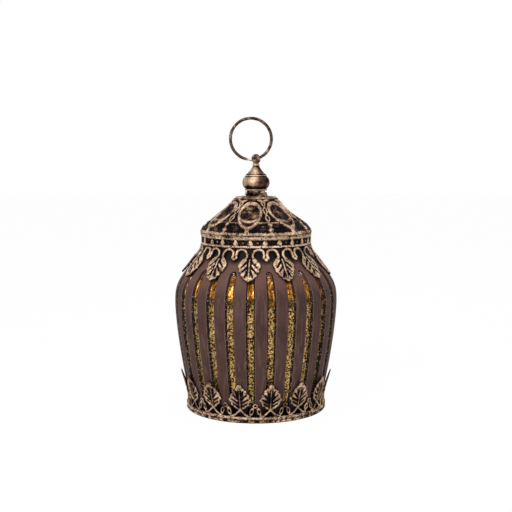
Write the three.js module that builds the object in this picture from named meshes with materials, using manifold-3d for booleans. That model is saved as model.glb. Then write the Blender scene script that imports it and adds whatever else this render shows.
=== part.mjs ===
// A small table lantern. A fluted glass jar stands in a rim with a collar of upright leaves, a pierced
// gallery and a collar of hanging leaves wrap its neck, and a pressed lid with a turned finial and a
// hanging ring lifts off with the battery lamp that reaches down into the jar.
// Millimetres, +Z up. The origin is the centre of the face that it stands on, and -Y is the front.
import * as THREE from "three";
import { mergeVertices } from "three/addons/utils/BufferGeometryUtils.js";
import Module from "manifold-3d";

const wasm = await Module();
wasm.setup();

// Clearances
const GAP = 0.3; // between a piece and the one that carries it, where they don't touch flat on flat
const BITE = 0.4; // how far joined strands run into each other
const WELD = 1e-4; // vertices closer than this are one vertex
const SLIVER = 0.02; // the shortest edge that a joined solid keeps

// Base rim, a pressed hoop with a flange under the glass
const FLANGE_THICKNESS = 1.2;
const FLANGE_INNER_RADIUS = 40;
const RIM_WALL = 0.7;
const RIM_HEIGHT = 4;
const RIM_ROUND = 0.5;

// Glass jar
const BELLY_RADIUS = 59.6; // over the ribs, at the widest height
const BELLY_HEIGHT = 78;
const FOOT_RADIUS = 48.2;
const FOOT_ROUND = 2; // the rounding between the jar's base and its side
const NECK_RADIUS = 38.2;
const NECK_HEIGHT = 120; // where the shoulder has become the straight neck
const NECK_LENGTH = 6.2; // from there up to the lip
const GLASS_WALL = 3.4;
const GLASS_FLOOR = 4.8;
const FLUTE_COUNT = 25;
const FLUTE_WIDTH = 5.8; // degrees, from rib to rib
const FLUTE_WALL = 1.3; // degrees that each sloping side of a flute takes
const FLUTE_DEPTH = 1.7;
const FLUTE_PHASE = -3.8; // degrees from the front to the nearest flute
const FLUTE_DROP = 14; // from the neck down to where the flutes have run out
const FLUTE_FADE = 9; // height over which they run out
const CURVE_POWER = 1.5; // fullness of the side below and above the belly
const LOWER_LEVELS = 3;
const UPPER_LEVELS = 5;
const BORE_SIDES = 24;

// Base leaf collar
const BASE_LEAF_COUNT = 15;
const BASE_LEAF_PHASE = -12.5; // degrees from the front to one of the leaves
const COLLAR_SIDES = 45;
const STRIP_THICKNESS = 0.7;
const BASE_RAIL_HEIGHT = 3.4;
const BASE_STEM_HEIGHT = 9.5; // where the legs meet and the leaf starts
const BASE_LEAF_LENGTH = 19.8;
const BASE_LEAF_HALF_WIDTH = 8.3;
const BASE_LEAF_TIP_STAND = 1.3; // how far the leaf's tip stands off the glass
const STRAND = 1.3; // width of the bent strands in the top collar
const MIDRIB_PEAK_SHARE = 0.5; // how far along the leaf its crease stands highest
const MIDRIB_RAISE = 0.7;
const LEG_SPREAD = 4.4;
const LEG_KNEE = 2.6; // where the leg is, half way up from its foot
const LEG_WIDTH = 1;
const SPRIG_HEIGHT = 8.4; // the sprig of leaflets between two leaves
const SPRIG_HALF_WIDTH = 3;
const SPRIG_FOOT = 1.2;

// Gallery, the pierced ring round the neck
const GALLERY_REACH = 2.4; // beyond the glass neck
const GALLERY_FLANGE = 1.2;
const GALLERY_RAIL_RISE = 1.2; // above the start of the neck
const GALLERY_RAIL_HEIGHT = 1.2;
const GALLERY_POST_COUNT = 24;
const GALLERY_POST_WIDTH = 1.7;
const GALLERY_POST_DEPTH = 1.3;
const GALLERY_POST_PHASE = -5.7;
const GALLERY_SIDES = 30;

// Top leaf collar
const TOP_LEAF_COUNT = 12;
const TOP_LEAF_PHASE = -5.7;
const TOP_LEAF_DROP = 15; // height from a leaf's root down to its tip
const TOP_LEAF_HALF_WIDTH = 8.4;
const TOP_STEM_STAND = 2.3; // from the glass to the collar's inner face where the leaves start
const ARCH_STAND = 1.5; // from the neck to the collar's inner face at the arches' crowns
const ARCH_RISE = 7.5; // from the leaves' roots up to the arches' crowns
const ARCH_HALF_WIDTH = 4.9;
const ARCH_HEIGHT = 5.4;
const ARCH_STEPS = 4;

// Lid
const HOOP_HEIGHT = 1.6;
const HOOP_WIDTH = 2.9;
const LID_SET_BACK = 0.5; // from the hoop's outer edge to the lid's
const LID_TOP_RADIUS = 15.6;
const LID_HEIGHT = 24.6; // from the hoop to the lid's flat top
const LID_SHOULDER_RISE = 7; // how upright the lid's edge starts
const LID_SHOULDER_DRAW = 0.9; // how far it is drawn in there
const LID_WAIST_DROP = 10.6; // how steep it runs into the flat top
const LID_WAIST_RADIUS = 22;
const LID_WALL = 1.2;
const LID_SIDES = 21; // three for each medallion, with one between each two medallions
const LID_LEVELS = 6;
const MEDALLION_COUNT = 7;
const MEDALLION_PHASE = -9.5;
const MEDALLION_TOP = 0.92; // share of the way up the lid's curve
const MEDALLION_BOTTOM = 0.24;
const MEDALLION_HALF_WIDTH = 8.6;
const MEDALLION_RIM = 1.9; // width of its raised rim
const MEDALLION_RAISE = 0.8;
const MEDALLION_DISH = 0.35; // how far its floor stands proud of the lid
const MEDALLION_POINTS = 12;
const EGG_FULLNESS = 0.14; // how much wider its upper end is
const RELIEF_ROOT = -0.6; // how deep the relief is sunk into the lid's sheet
const RELIEF_EDGE = 0.12; // how far its sides stand proud
const BRAID_TOP = 0.9;
const BRAID_BOTTOM = 0.44;
const BRAID_HALF_WIDTH = 1.6;
const BRAID_WAIST = 0.7;
const BRAID_CROSSINGS = 2;
const BRAID_RAISE = 0.7;
const BRACKET_LEVEL = 0.38;
const BRACKET_STRAND = 1.1;
const POST_FOOT = 0.03;
const POST_HALF_WIDTH = 0.6;
const LOWER_BEAD_LEVEL = 0.13;
const LOWER_BEAD_HALF_WIDTH = 1.7;
const UPPER_BEAD_LEVEL = 0.3;
const UPPER_BEAD_HALF_WIDTH = 1.2;

// Finial
const STUD_RADIUS = 1.9;
const PLATE_THICKNESS = 1.6;
const PLATE_RADIUS = 15.2;
const FOOT_HEIGHT = 4.2;
const FOOT_BASE_RADIUS = 7.7;
const FOOT_WAIST_RADIUS = 6.6;
const BINDING_WIRE = 0.5; // radius of the wire wound round the foot
const BINDING_PITCH = 1.45;
const BINDING_TURNS = 2;
const BINDING_START = 25; // degrees from the front to its lower end
const BINDING_SIDES = 6;
const BINDING_STEPS = 24; // in each turn
const WASHER_RING_HEIGHT = 1.2;
const WASHER_RING_RADIUS = 8.2;
const ONION_HEIGHT = 16.6;
const ONION_RADIUS = 9.9;
const ONION_LEDGE_RADIUS = 7.6;
const ONION_LEDGE_HEIGHT = 9.3; // from the onion's foot
const ONION_LEDGE_THICKNESS = 0.8;
const ONION_FULLNESS = 2.4; // how square the bulb's side is
const ONION_HOLLOW = 1.4; // how hollow the cone above the ledge is
const ONION_TOP_RADIUS = 2.5;
const EYE_RADIUS = 3.2;
const EYE_NECK = 5.1; // from the onion to the middle of the eye
const EYE_BEAD_RADIUS = 2.6;
const EYE_BEAD_HEIGHT = 1.2;
const EYE_BEAD_ROUND = 0.4;
const EYE_START = -55.6; // degrees from level where the ball leaves its bead
const EYE_STEPS = 6;
const EYE_CLEARANCE = 0.7; // round the wire of the hanging ring
const FINIAL_SIDES = 16;

// Hanging ring
const RING_RADIUS = 14.85; // middle of the wire
const RING_WIRE = 1.15;
const RING_LEAN = 14.3; // degrees that the ring leans to the left in its eye
const RING_SPLIT = 4; // degrees that are open where the wire's ends meet
const RING_SPLIT_PLACE = 24; // degrees round the ring from the eye to the split
const RING_STEPS = 30;

// Battery housing under the lid
const HOUSING_TOP = 1.6;
const HOUSING_WALL = 1.6;
const HOUSING_DEPTH = 16.4; // below its top plate
const COVER_THICKNESS = 1.6;
const GASKET_DROP = 6.4; // from the lip of the glass down to the gasket's lower edge
const GASKET_HEIGHT = 4.5;
const GASKET_WIDTH = 1.4;
const SCREW_COUNT = 4;
const SCREW_INSET = 5.3; // from the housing's outside to the screws
const SCREW_RADIUS = 1.1;
const SCREW_LENGTH = 9;
const SCREW_HEAD_RADIUS = 2.3;
const SCREW_HEAD_HEIGHT = 1.3;
const BOSS_RADIUS = 2.6;
const SMALL_SIDES = 14;
const FINE_SIDES = 16;
const SCREW_SIDES = 12;
const SCREW_POINT = 1;
const SCREW_HEAD_CHAMFER = 0.5;
const SCREW_SLOT = 0.6;
const SCREW_SLOT_DEPTH = 0.7;
const GASKET_LIPS = 2;
const GASKET_LIP_DEPTH = 0.5;

// Cells, contacts and door
const CELL_RADIUS = 10;
const CELL_HEIGHT = 3.2;
const CELL_ROUND = 0.3;
const CELL_RIM = 1; // how far the case stands past the smaller pole
const CELL_COUNT = 2;
const WELL_WALL = 1.2;
const WELL_CLEARANCE = 0.2; // from the cells' well to the housing's wall
const DOOR_MARGIN = 0.9; // how much larger the door is than a cell
const DOOR_THICKNESS = 1.4;
const DOOR_SIDES = 24;
const DOOR_LEDGE = 0.7; // how much slimmer the door is behind its face
const DOOR_LUG_HEIGHT = 1;
const DOOR_LUG_REACH = 1.1; // past the opening's edge
const DOOR_LUG_WIDTH = 4;
const DOOR_TURN = 45; // degrees from locked to open
const COIN_SLOT = 1.8;
const COIN_SLOT_REACH = 8;
const COIN_SLOT_DEPTH = 0.8;
const SPRING_HEIGHT = 1.3;
const SPRING_BORE = 2;
const SPRING_SEAT = 1;
const SPRING_RADIUS = 7.5;
const CONTACT_REACH = 5; // how far the strip runs in under the board
const CONTACT_WIDTH = 4;
const CONTACT_THICKNESS = 0.6;

// Board and switch
const BOARD_THICKNESS = 1.6;
const POST_RADIUS = 1.8;
const POST_PLACE = 14;
const SWITCH_LENGTH = 10;
const SWITCH_WIDTH = 4;
const SWITCH_HEIGHT = 7;
const SWITCH_OFFSET = 20;
const SWITCH_TRAVEL = 4;
const SLIDER_WIDTH = 2.2;
const SLIDER_STAND = 1.8; // below the cover
const KNOB_LEDGE = 0.7; // how far the slider's knob hangs over its slot on each side
const SWITCH_STAND = 1; // room for the slider's plate under the switch
const CHIP_LENGTH = 5;
const CHIP_WIDTH = 4;
const CHIP_X = 7;
const CHIP_Y = -12;
const CHIP_HEIGHT = 1.5;

// Lamp
const SOCKET_RADIUS = 7.6;
const SOCKET_LENGTH = 8;
const SOCKET_WALL = 1.4;
const SOCKET_TOP = 2;
const SOCKET_ROUND = 0.5;
const THREAD_TURNS = 3;
const THREAD_DEPTH = 0.5;
const CAP_LENGTH = 12;
const CAP_WALL = 0.4;
const LEAD_HOLE_RADIUS = 3;
const BULB_RADIUS = 15;
const BULB_LENGTH = 38;
const BULB_WALL = 0.7;
const BULB_SIDES = 16;
const STEM_LENGTH = 35;
const STEM_BASE_RADIUS = 3.9;
const STEM_BASE_LENGTH = 6;
const STEM_RADIUS = 1.2;
const STEM_FOOT = 0.8; // thickness of the disc that the filaments stand on
const STEM_TAPER = 2;
const FILAMENT_COUNT = 4;
const FILAMENT_RADIUS = 0.8;
const FILAMENT_TOP_CIRCLE = 7;
const FILAMENT_FOOT_CIRCLE = 3.6;
const FILAMENT_TOP_DROP = 17; // below the stem's upper end
const STEM_ARM = 0.8; // thickness of the stem's cross arms
const LEAD_RADIUS = 0.6;
const LEAD_SPREAD = 5.5; // from the middle to each lead's joint under the board, sideways
const LEAD_BACK = 5; // and backwards
const LEAD_DROP = 4; // how far a lead runs straight down from its joint

// Heights and radii that follow from the sizes above
const JAR_TOP = NECK_HEIGHT + NECK_LENGTH;
const FLUTE_TOP = NECK_HEIGHT - FLUTE_DROP;
const GALLERY_RADIUS = NECK_RADIUS + GALLERY_REACH;
const GALLERY_RAIL_BOTTOM = NECK_HEIGHT + GALLERY_RAIL_RISE;
const GASKET_BOTTOM = JAR_TOP - GASKET_DROP;
const GASKET_RADIUS = NECK_RADIUS - GLASS_WALL - GAP;
const HOOP_RADIUS = GALLERY_RADIUS + GAP;
const LID_RIM_RADIUS = HOOP_RADIUS - LID_SET_BACK;
const LID_SHOULDER_RADIUS = LID_RIM_RADIUS - LID_SHOULDER_DRAW;
const HOUSING_RADIUS = GASKET_RADIUS - GASKET_WIDTH - GAP;
const HOUSING_FLANGE_RADIUS = HOOP_RADIUS - HOOP_WIDTH - GAP;
const SCREW_CIRCLE = HOUSING_RADIUS - SCREW_INSET;
const BOARD_RADIUS = SCREW_CIRCLE - BOSS_RADIUS - 2 * GAP;
const WELL_RADIUS = CELL_RADIUS + GAP + WELL_WALL;
const CELL_OFFSET = HOUSING_RADIUS - HOUSING_WALL - WELL_RADIUS - WELL_CLEARANCE;
const LID_SEAT = JAR_TOP + GALLERY_FLANGE;
const HOOP_TOP = LID_SEAT + HOOP_HEIGHT;
const LID_TOP = HOOP_TOP + LID_HEIGHT;
const PLATE_TOP = LID_TOP + PLATE_THICKNESS;
const FOOT_TOP = PLATE_TOP + FOOT_HEIGHT;
const ONION_BOTTOM = FOOT_TOP + WASHER_RING_HEIGHT;
const ONION_TOP = ONION_BOTTOM + ONION_HEIGHT;
const EYE_HEIGHT = ONION_TOP + EYE_NECK;
const HOUSING_UNDERSIDE = LID_SEAT; // its top plate is level with the flange that rests on the gallery
const COVER_TOP = LID_SEAT - HOUSING_DEPTH;
const COVER_BOTTOM = COVER_TOP - COVER_THICKNESS;
const STUD_BORE = STUD_RADIUS + GAP;
const DOOR_RADIUS = CELL_RADIUS + DOOR_MARGIN;
const DOOR_OPENING = DOOR_RADIUS + GAP;
const DOOR_TOP = COVER_TOP + GAP + DOOR_LUG_HEIGHT;
const CELLS_BOTTOM = DOOR_TOP + GAP;
const CELLS_TOP = CELLS_BOTTOM + CELL_COUNT * CELL_HEIGHT;
const WELL_ROOF = CELLS_TOP + GAP + SPRING_HEIGHT;
const BOARD_BOTTOM = COVER_TOP + GAP * 2 + SWITCH_HEIGHT + SWITCH_STAND;
const BOARD_TOP = BOARD_BOTTOM + BOARD_THICKNESS;
const WASHER_HEIGHT = 1;
const WASHER_RADIUS = 5.6;
const NUT_HEIGHT = 3.2;
const NUT_RADIUS = 4;
const NUT_SIDES = 6;
const SPACER_WALL = 1.4;
const STUD_PROUD = 0.8; // how far the stud's end stands out of its nut
const STUD_END = HOUSING_UNDERSIDE - WASHER_HEIGHT - NUT_HEIGHT - STUD_PROUD;
const CAP_TOP = COVER_BOTTOM - SOCKET_TOP - GAP;
const CAP_RADIUS = SOCKET_RADIUS - SOCKET_WALL - GAP;
const CAP_CROWN = 1.2;
const BULB_NECK_RADIUS = CAP_RADIUS - CAP_WALL - GAP;
const BULB_TOP = CAP_TOP - CAP_CROWN - GAP;
const STEM_TOP = BULB_TOP;

const radians = THREE.MathUtils.degToRad;

// A closed geometry as a solid that can be joined and cut. A piece that already is one stays as it is.
function solid(piece) {
  if (!piece.isBufferGeometry) return piece;
  const bare = piece.index ? piece.toNonIndexed() : piece.clone();
  bare.deleteAttribute("normal");
  bare.deleteAttribute("uv");
  const merged = mergeVertices(bare, WELD);
  return new wasm.Manifold(
    new wasm.Mesh({
      numProp: 3,
      vertProperties: merged.attributes.position.array,
      triVerts: new Uint32Array(merged.index.array),
    }),
  );
}

function join(pieces) {
  return pieces.map(solid).reduce((whole, piece) => whole.add(piece));
}

function cut(whole, tools) {
  return tools.map(solid).reduce((left, tool) => left.subtract(tool), solid(whole));
}

// Joins leave short edges where two surfaces cross at a shallow angle. Those under SLIVER shrink to points.
function geometryOf(body) {
  const { vertProperties, triVerts } = body.getMesh();
  const spot = (i) => new THREE.Vector3().fromArray(vertProperties, 3 * i);
  const mergedInto = Array.from(vertProperties, (_, i) => i);
  const root = (i) => (mergedInto[i] === i ? i : root(mergedInto[i]));
  const triangles = Array.from({ length: triVerts.length / 3 }, (_, i) => triVerts.slice(3 * i, 3 * i + 3));
  triangles.forEach((triangle) =>
    triangle.forEach((from, i) => {
      const to = triangle[(i + 1) % 3];
      if (spot(from).distanceTo(spot(to)) < SLIVER) mergedInto[root(from)] = root(to);
    }),
  );
  const collapsed = triangles.map((triangle) => [...triangle].map(root));
  const kept = collapsed.filter((triangle) => new Set(triangle).size === 3);
  return new THREE.BufferGeometry().setFromPoints(kept.flat().map(spot));
}

// A solid of revolution about Z. The outline holds [radius, height] pairs, listed anticlockwise
// with the radius to the right, and it starts and ends on the axis or closes on itself.
function turned(outline, sides = SMALL_SIDES, closed = false) {
  const points = outline.map(([radius, height]) => new THREE.Vector2(radius, height));
  if (closed) points.push(points[0].clone());
  return new THREE.LatheGeometry(points, sides).rotateX(Math.PI / 2);
}

function disc(radius, bottom, top, sides = SMALL_SIDES) {
  return turned(
    [
      [0, bottom],
      [radius, bottom],
      [radius, top],
      [0, top],
    ],
    sides,
  );
}

function hoop(inner, outer, bottom, top, sides = SMALL_SIDES) {
  return turned(
    [
      [inner, bottom],
      [outer, bottom],
      [outer, top],
      [inner, top],
    ],
    sides,
    true,
  );
}

function block(sizeX, sizeY, bottom, top, x = 0, y = 0) {
  return new THREE.BoxGeometry(sizeX, sizeY, top - bottom).translate(x, y, (bottom + top) / 2);
}

function moved(geometry, spot) {
  return geometry.translate(spot.x, spot.y, 0);
}

// A strand with a round section along a list of points.
function strand(points, radius, sides = 4, steps = points.length - 1) {
  const section = new THREE.Shape();
  for (let i = 0; i < sides; i++) {
    const turn = (2 * Math.PI * (i + 0.5)) / sides;
    const spot = [radius * Math.cos(turn), radius * Math.sin(turn)];
    if (i === 0) section.moveTo(...spot);
    else section.lineTo(...spot);
  }
  section.closePath();
  const path = new THREE.CatmullRomCurve3(points);
  return new THREE.ExtrudeGeometry(section, { extrudePath: path, steps, bevelEnabled: false });
}

// The point at an angle from the front, in degrees towards +X, at a radius and a height.
function around(angle, radius, height) {
  const turn = radians(angle);
  return new THREE.Vector3(radius * Math.sin(turn), -radius * Math.cos(turn), height);
}

function repeated(count, phase, make) {
  return Array.from({ length: count }, (_, i) => make(phase + (i * 360) / count));
}

// A thin pressed sheet round the axis, made of flat cells that meet edge to edge. A cell lists its corners
// anticlockwise as seen from outside, each as [turn in degrees, height, how far the outside is raised].
function pressedSheet(cells, innerRadius, thickness) {
  const wholeTurn = 360 / WELD;
  const keyOf = ([turn, height]) => {
    const steps = Math.round(turn / WELD) % wholeTurn;
    return `${(steps + wholeTurn) % wholeTurn} ${Math.round(height / WELD)}`;
  };
  const inner = ([turn, height]) => around(turn, innerRadius(height), height);
  const outer = ([turn, height, raise = 0]) =>
    around(turn, innerRadius(height) + thickness + raise, height);
  const edges = new Set();
  const eachEdge = (visit) =>
    cells.forEach((cell) => cell.forEach((corner, i) => visit(corner, cell[(i + 1) % cell.length])));
  eachEdge((from, to) => edges.add(`${keyOf(from)} to ${keyOf(to)}`));
  const corners = [];
  cells.forEach((cell) => {
    const contour = cell.map(([turn, height]) => new THREE.Vector2(turn, height));
    THREE.ShapeUtils.triangulateShape(contour, []).forEach(([a, b, c]) => {
      corners.push(outer(cell[a]), outer(cell[b]), outer(cell[c]));
      corners.push(inner(cell[a]), inner(cell[c]), inner(cell[b]));
    });
  });
  eachEdge((from, to) => {
    if (edges.has(`${keyOf(to)} to ${keyOf(from)}`)) return;
    corners.push(outer(to), outer(from), inner(from), outer(to), inner(from), inner(to));
  });
  return new THREE.BufferGeometry().setFromPoints(corners);
}

// The cells with their mirror images across the turn of 0.
function withMirror(cells) {
  return [...cells, ...cells.map((cell) => cell.map(([turn, ...rest]) => [-turn, ...rest]).reverse())];
}

// The same cells once for every leaf.
function roundTheCollar(count, phase, cells) {
  return repeated(count, phase, (angle) =>
    cells.map((cell) => cell.map(([turn, ...rest]) => [angle + turn, ...rest])),
  ).flat();
}

// Degrees of turn for a distance round the lantern at a radius.
function degreesFor(distance, radius) {
  return THREE.MathUtils.radToDeg(distance / radius);
}

// Radius of the glass over its ribs at a height.
function jarRadius(height) {
  if (height <= BELLY_HEIGHT) {
    const down = (BELLY_HEIGHT - height) / (BELLY_HEIGHT - FLANGE_THICKNESS - FOOT_ROUND);
    return BELLY_RADIUS - (BELLY_RADIUS - FOOT_RADIUS) * down ** CURVE_POWER;
  }
  const up = Math.min(1, (height - BELLY_HEIGHT) / (NECK_HEIGHT - BELLY_HEIGHT));
  const share = (1 + Math.cos(Math.PI * up ** CURVE_POWER)) / 2;
  return NECK_RADIUS + (BELLY_RADIUS - NECK_RADIUS) * share;
}

function jarHeights(bottom, top, levels) {
  return Array.from({ length: levels + 1 }, (_, i) => bottom + ((top - bottom) * i) / levels);
}

// One ring of the fluted outside: four points for each flute, two on the ribs and two in the flute.
function flutedRing(height, radius, depth) {
  const edge = FLUTE_WIDTH / 2;
  const floor = edge - FLUTE_WALL;
  return repeated(FLUTE_COUNT, FLUTE_PHASE, (angle) => [
    around(angle - edge, radius, height),
    around(angle - floor, radius - depth, height),
    around(angle + floor, radius - depth, height),
    around(angle + edge, radius, height),
  ]).flat();
}

// A closed skin over a stack of rings of equal length. Each ring runs anticlockwise when it is seen from
// the last one, and each end is closed with a fan to its middle.
function stackedRings(rings) {
  const count = rings[0].length;
  const ends = [rings[0], rings[rings.length - 1]].map((ring) =>
    ring.reduce((sum, spot) => sum.add(spot), new THREE.Vector3()).divideScalar(count),
  );
  const vertices = [...rings.flat(), ...ends];
  const [floorPole, roofPole] = [vertices.length - 2, vertices.length - 1];
  const faces = [];
  for (let i = 0; i < count; i++) {
    const next = (i + 1) % count;
    rings.slice(1).forEach((_, level) => {
      const low = level * count;
      const high = low + count;
      faces.push(low + i, low + next, high + next, low + i, high + next, high + i);
    });
    const last = (rings.length - 1) * count;
    faces.push(floorPole, next, i, roofPole, last + i, last + next);
  }
  const geometry = new THREE.BufferGeometry().setFromPoints(vertices);
  geometry.setIndex(faces);
  return geometry;
}

function fluteDepth(height) {
  const run = THREE.MathUtils.smoothstep(FLUTE_TOP - height, 0, FLUTE_FADE);
  return FLUTE_DEPTH * run;
}

function glassJar() {
  const sideFoot = FLANGE_THICKNESS + FOOT_ROUND;
  const heights = [
    ...jarHeights(sideFoot, BELLY_HEIGHT, LOWER_LEVELS),
    ...jarHeights(BELLY_HEIGHT, NECK_HEIGHT, UPPER_LEVELS).slice(1),
  ];
  const rings = heights.map((height) => flutedRing(height, jarRadius(height), fluteDepth(height)));
  const foot = flutedRing(FLANGE_THICKNESS, FOOT_RADIUS - FOOT_ROUND, FLUTE_DEPTH);
  const lip = flutedRing(JAR_TOP, NECK_RADIUS, 0);
  const outside = stackedRings([foot, ...rings, lip]);
  const floor = FLANGE_THICKNESS + GLASS_FLOOR;
  const inner = heights
    .filter((height) => height > floor + GLASS_WALL)
    .map((height) => [jarRadius(height) - GLASS_WALL, height]);
  const inside = turned(
    [
      [0, floor],
      [jarRadius(floor) - 2 * GLASS_WALL, floor],
      [jarRadius(floor + GLASS_WALL) - GLASS_WALL, floor + GLASS_WALL],
      ...inner,
      [NECK_RADIUS - GLASS_WALL, JAR_TOP + 1],
      [0, JAR_TOP + 1],
    ],
    BORE_SIDES,
  );
  return cut(outside, [inside]);
}

// Inner face of the base collar's straight part, just outside the glass where the leaves start.
const COLLAR_RADIUS = jarRadius(BASE_STEM_HEIGHT) + GAP;
const RIM_INNER_RADIUS = COLLAR_RADIUS + STRIP_THICKNESS + GAP;

function baseRim() {
  const outer = RIM_INNER_RADIUS + RIM_WALL;
  return turned(
    [
      [FLANGE_INNER_RADIUS, 0],
      [outer - RIM_ROUND, 0],
      [outer, RIM_ROUND],
      [outer, RIM_HEIGHT],
      [RIM_INNER_RADIUS, RIM_HEIGHT],
      [RIM_INNER_RADIUS, FLANGE_THICKNESS],
      [FLANGE_INNER_RADIUS, FLANGE_THICKNESS],
    ],
    COLLAR_SIDES,
    true,
  );
}

// Inner face of the base collar: upright below the leaves, then along the glass and off it at the tips.
function baseCollarRadius(height) {
  if (height <= BASE_STEM_HEIGHT) return COLLAR_RADIUS;
  const share = (height - BASE_STEM_HEIGHT) / BASE_LEAF_LENGTH;
  return jarRadius(height) + GAP + BASE_LEAF_TIP_STAND * share ** 2;
}

// Edge of half a leaf from its root to its tip, as shares of its half width and length.
const LOBED_LEAF = [
  [0.64, 0.14],
  [1, 0.34],
  [0.77, 0.5],
  [0.74, 0.64],
  [0.42, 0.72],
  [0.3, 0.86],
  [0, 1],
];
const ROUND_LEAF = [
  [0.7, 0.14],
  [1, 0.38],
  [0.9, 0.58],
  [0.6, 0.79],
  [0.26, 0.93],
  [0, 1],
];

// Edge of half a sprig from its bud down to its foot, as shares of its half width and height.
const SPRIG = [
  [0.45, 0.86],
  [0.28, 0.7],
  [0.85, 0.6],
  [1, 0.38],
  [0.7, 0.14],
];

const RAIL_TOP = FLANGE_THICKNESS + BASE_RAIL_HEIGHT;
const baseSpot = (x, height, raise) => [degreesFor(x, baseCollarRadius(height)), height, raise];

// Half of the rail, a leg and half of the leaf, from the leaf's middle to the middle of the gap.
function baseLeafCells(gapMiddle) {
  const half = LEG_WIDTH / 2;
  const legInner = baseSpot(LEG_SPREAD - half, RAIL_TOP);
  const legOuter = baseSpot(LEG_SPREAD + half, RAIL_TOP);
  const bendHeight = (RAIL_TOP + BASE_STEM_HEIGHT) / 2;
  const crotch = baseSpot(0, BASE_STEM_HEIGHT - half);
  const shoulder = baseSpot(LEG_WIDTH, BASE_STEM_HEIGHT + half);
  const railFoot = (turn) => [turn, FLANGE_THICKNESS];
  const sprigFoot = [gapMiddle - degreesFor(SPRIG_FOOT, COLLAR_RADIUS), RAIL_TOP];
  const edge = LOBED_LEAF.map(([x, y]) =>
    baseSpot(x * BASE_LEAF_HALF_WIDTH, BASE_STEM_HEIGHT + y * BASE_LEAF_LENGTH),
  );
  const midrib = baseSpot(0, BASE_STEM_HEIGHT + MIDRIB_PEAK_SHARE * BASE_LEAF_LENGTH, MIDRIB_RAISE);
  return [
    [railFoot(0), railFoot(legOuter[0]), legOuter, legInner, [0, RAIL_TOP]],
    [railFoot(legOuter[0]), railFoot(gapMiddle), [gapMiddle, RAIL_TOP], sprigFoot, legOuter],
    [
      legInner,
      legOuter,
      baseSpot(LEG_KNEE + half, bendHeight),
      shoulder,
      crotch,
      baseSpot(LEG_KNEE - half, bendHeight),
    ],
    [crotch, shoulder, ...edge, midrib],
  ];
}

// Half of the sprig between two leaves: a leaflet that swells from the rail, under half of the bud.
function sprigCells(gapMiddle) {
  const spot = (x, rise, raise) => [
    gapMiddle - degreesFor(x, COLLAR_RADIUS),
    RAIL_TOP + rise * SPRIG_HEIGHT,
    raise,
  ];
  const outline = SPRIG.map(([x, y]) => spot(x * SPRIG_HALF_WIDTH, y));
  return [[spot(SPRIG_FOOT, 0), spot(0, 0), spot(0, 0.5, MIDRIB_RAISE), spot(0, 1), ...outline]];
}

function baseLeafCollar() {
  const gapMiddle = 180 / BASE_LEAF_COUNT;
  const cells = withMirror([...baseLeafCells(gapMiddle), ...sprigCells(gapMiddle)]);
  return pressedSheet(
    roundTheCollar(BASE_LEAF_COUNT, BASE_LEAF_PHASE, cells),
    baseCollarRadius,
    STRIP_THICKNESS,
  );
}

function gallery() {
  const railTop = GALLERY_RAIL_BOTTOM + GALLERY_RAIL_HEIGHT;
  const flange = hoop(NECK_RADIUS - GLASS_WALL + GAP, GALLERY_RADIUS, JAR_TOP, LID_SEAT, GALLERY_SIDES);
  const rail = hoop(NECK_RADIUS + GAP, GALLERY_RADIUS, GALLERY_RAIL_BOTTOM, railTop, GALLERY_SIDES);
  const posts = repeated(GALLERY_POST_COUNT, GALLERY_POST_PHASE, (angle) => {
    const post = new THREE.BoxGeometry(
      GALLERY_POST_WIDTH,
      GALLERY_POST_DEPTH,
      JAR_TOP - railTop + 2 * BITE,
    );
    const spot = around(angle, GALLERY_RADIUS - GALLERY_POST_DEPTH / 2 - GAP, (JAR_TOP + railTop) / 2);
    return post.rotateZ(radians(angle)).translate(spot.x, spot.y, spot.z);
  });
  return join([flange, rail, ...posts]);
}

// Inner face of the top collar at the arches' crowns, the leaves' roots and their tips.
const ARCH_CROWN = GALLERY_RAIL_BOTTOM - GAP;
const TOP_STEM_HEIGHT = ARCH_CROWN - ARCH_RISE;
const TOP_TIP_HEIGHT = TOP_STEM_HEIGHT - TOP_LEAF_DROP;
const TOP_ARCH_RADIUS = NECK_RADIUS + ARCH_STAND;
const TOP_STEM_RADIUS = jarRadius(TOP_STEM_HEIGHT) + TOP_STEM_STAND;
const TOP_TIP_RADIUS = jarRadius(TOP_TIP_HEIGHT) + GAP;

// Inner face of the top collar: close to the neck at the arches, then straight out over the shoulder,
// or along the glass where that stands further out.
function topCollarRadius(height) {
  if (height >= TOP_STEM_HEIGHT) {
    const down = Math.max(0, (ARCH_CROWN - height) / ARCH_RISE);
    return TOP_ARCH_RADIUS + (TOP_STEM_RADIUS - TOP_ARCH_RADIUS) * down ** 2;
  }
  const out = (TOP_STEM_HEIGHT - height) / TOP_LEAF_DROP;
  const straight = TOP_STEM_RADIUS + (TOP_TIP_RADIUS - TOP_STEM_RADIUS) * out;
  return Math.max(straight, jarRadius(height) + GAP);
}

const topSpot = (x, height, raise) => [degreesFor(x, topCollarRadius(height)), height, raise];

// A horseshoe arch, as pairs of outer and inner corners from the leaf's root over to the bead.
function archPairs(gapMiddle) {
  const middle = gapMiddle / 2;
  const spring = ARCH_CROWN - ARCH_HEIGHT;
  const ellipse = (share, inset) => {
    const height = spring + (ARCH_HEIGHT - inset) * Math.sin(Math.PI * share);
    const reach = degreesFor(ARCH_HALF_WIDTH - inset, topCollarRadius(height));
    return [middle - reach * Math.cos(Math.PI * share), height];
  };
  const bow = Array.from({ length: ARCH_STEPS + 1 }, (_, i) => i / ARCH_STEPS);
  const joint = topSpot(0, TOP_STEM_HEIGHT + STRAND / 2);
  const side = topSpot(STRAND, TOP_STEM_HEIGHT);
  const acrossMiddle = ([turn, height]) => [gapMiddle - turn, height];
  return [
    [joint, side],
    ...bow.map((share) => [ellipse(share, 0), ellipse(share, STRAND)]),
    [acrossMiddle(joint), acrossMiddle(side)],
  ];
}

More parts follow.
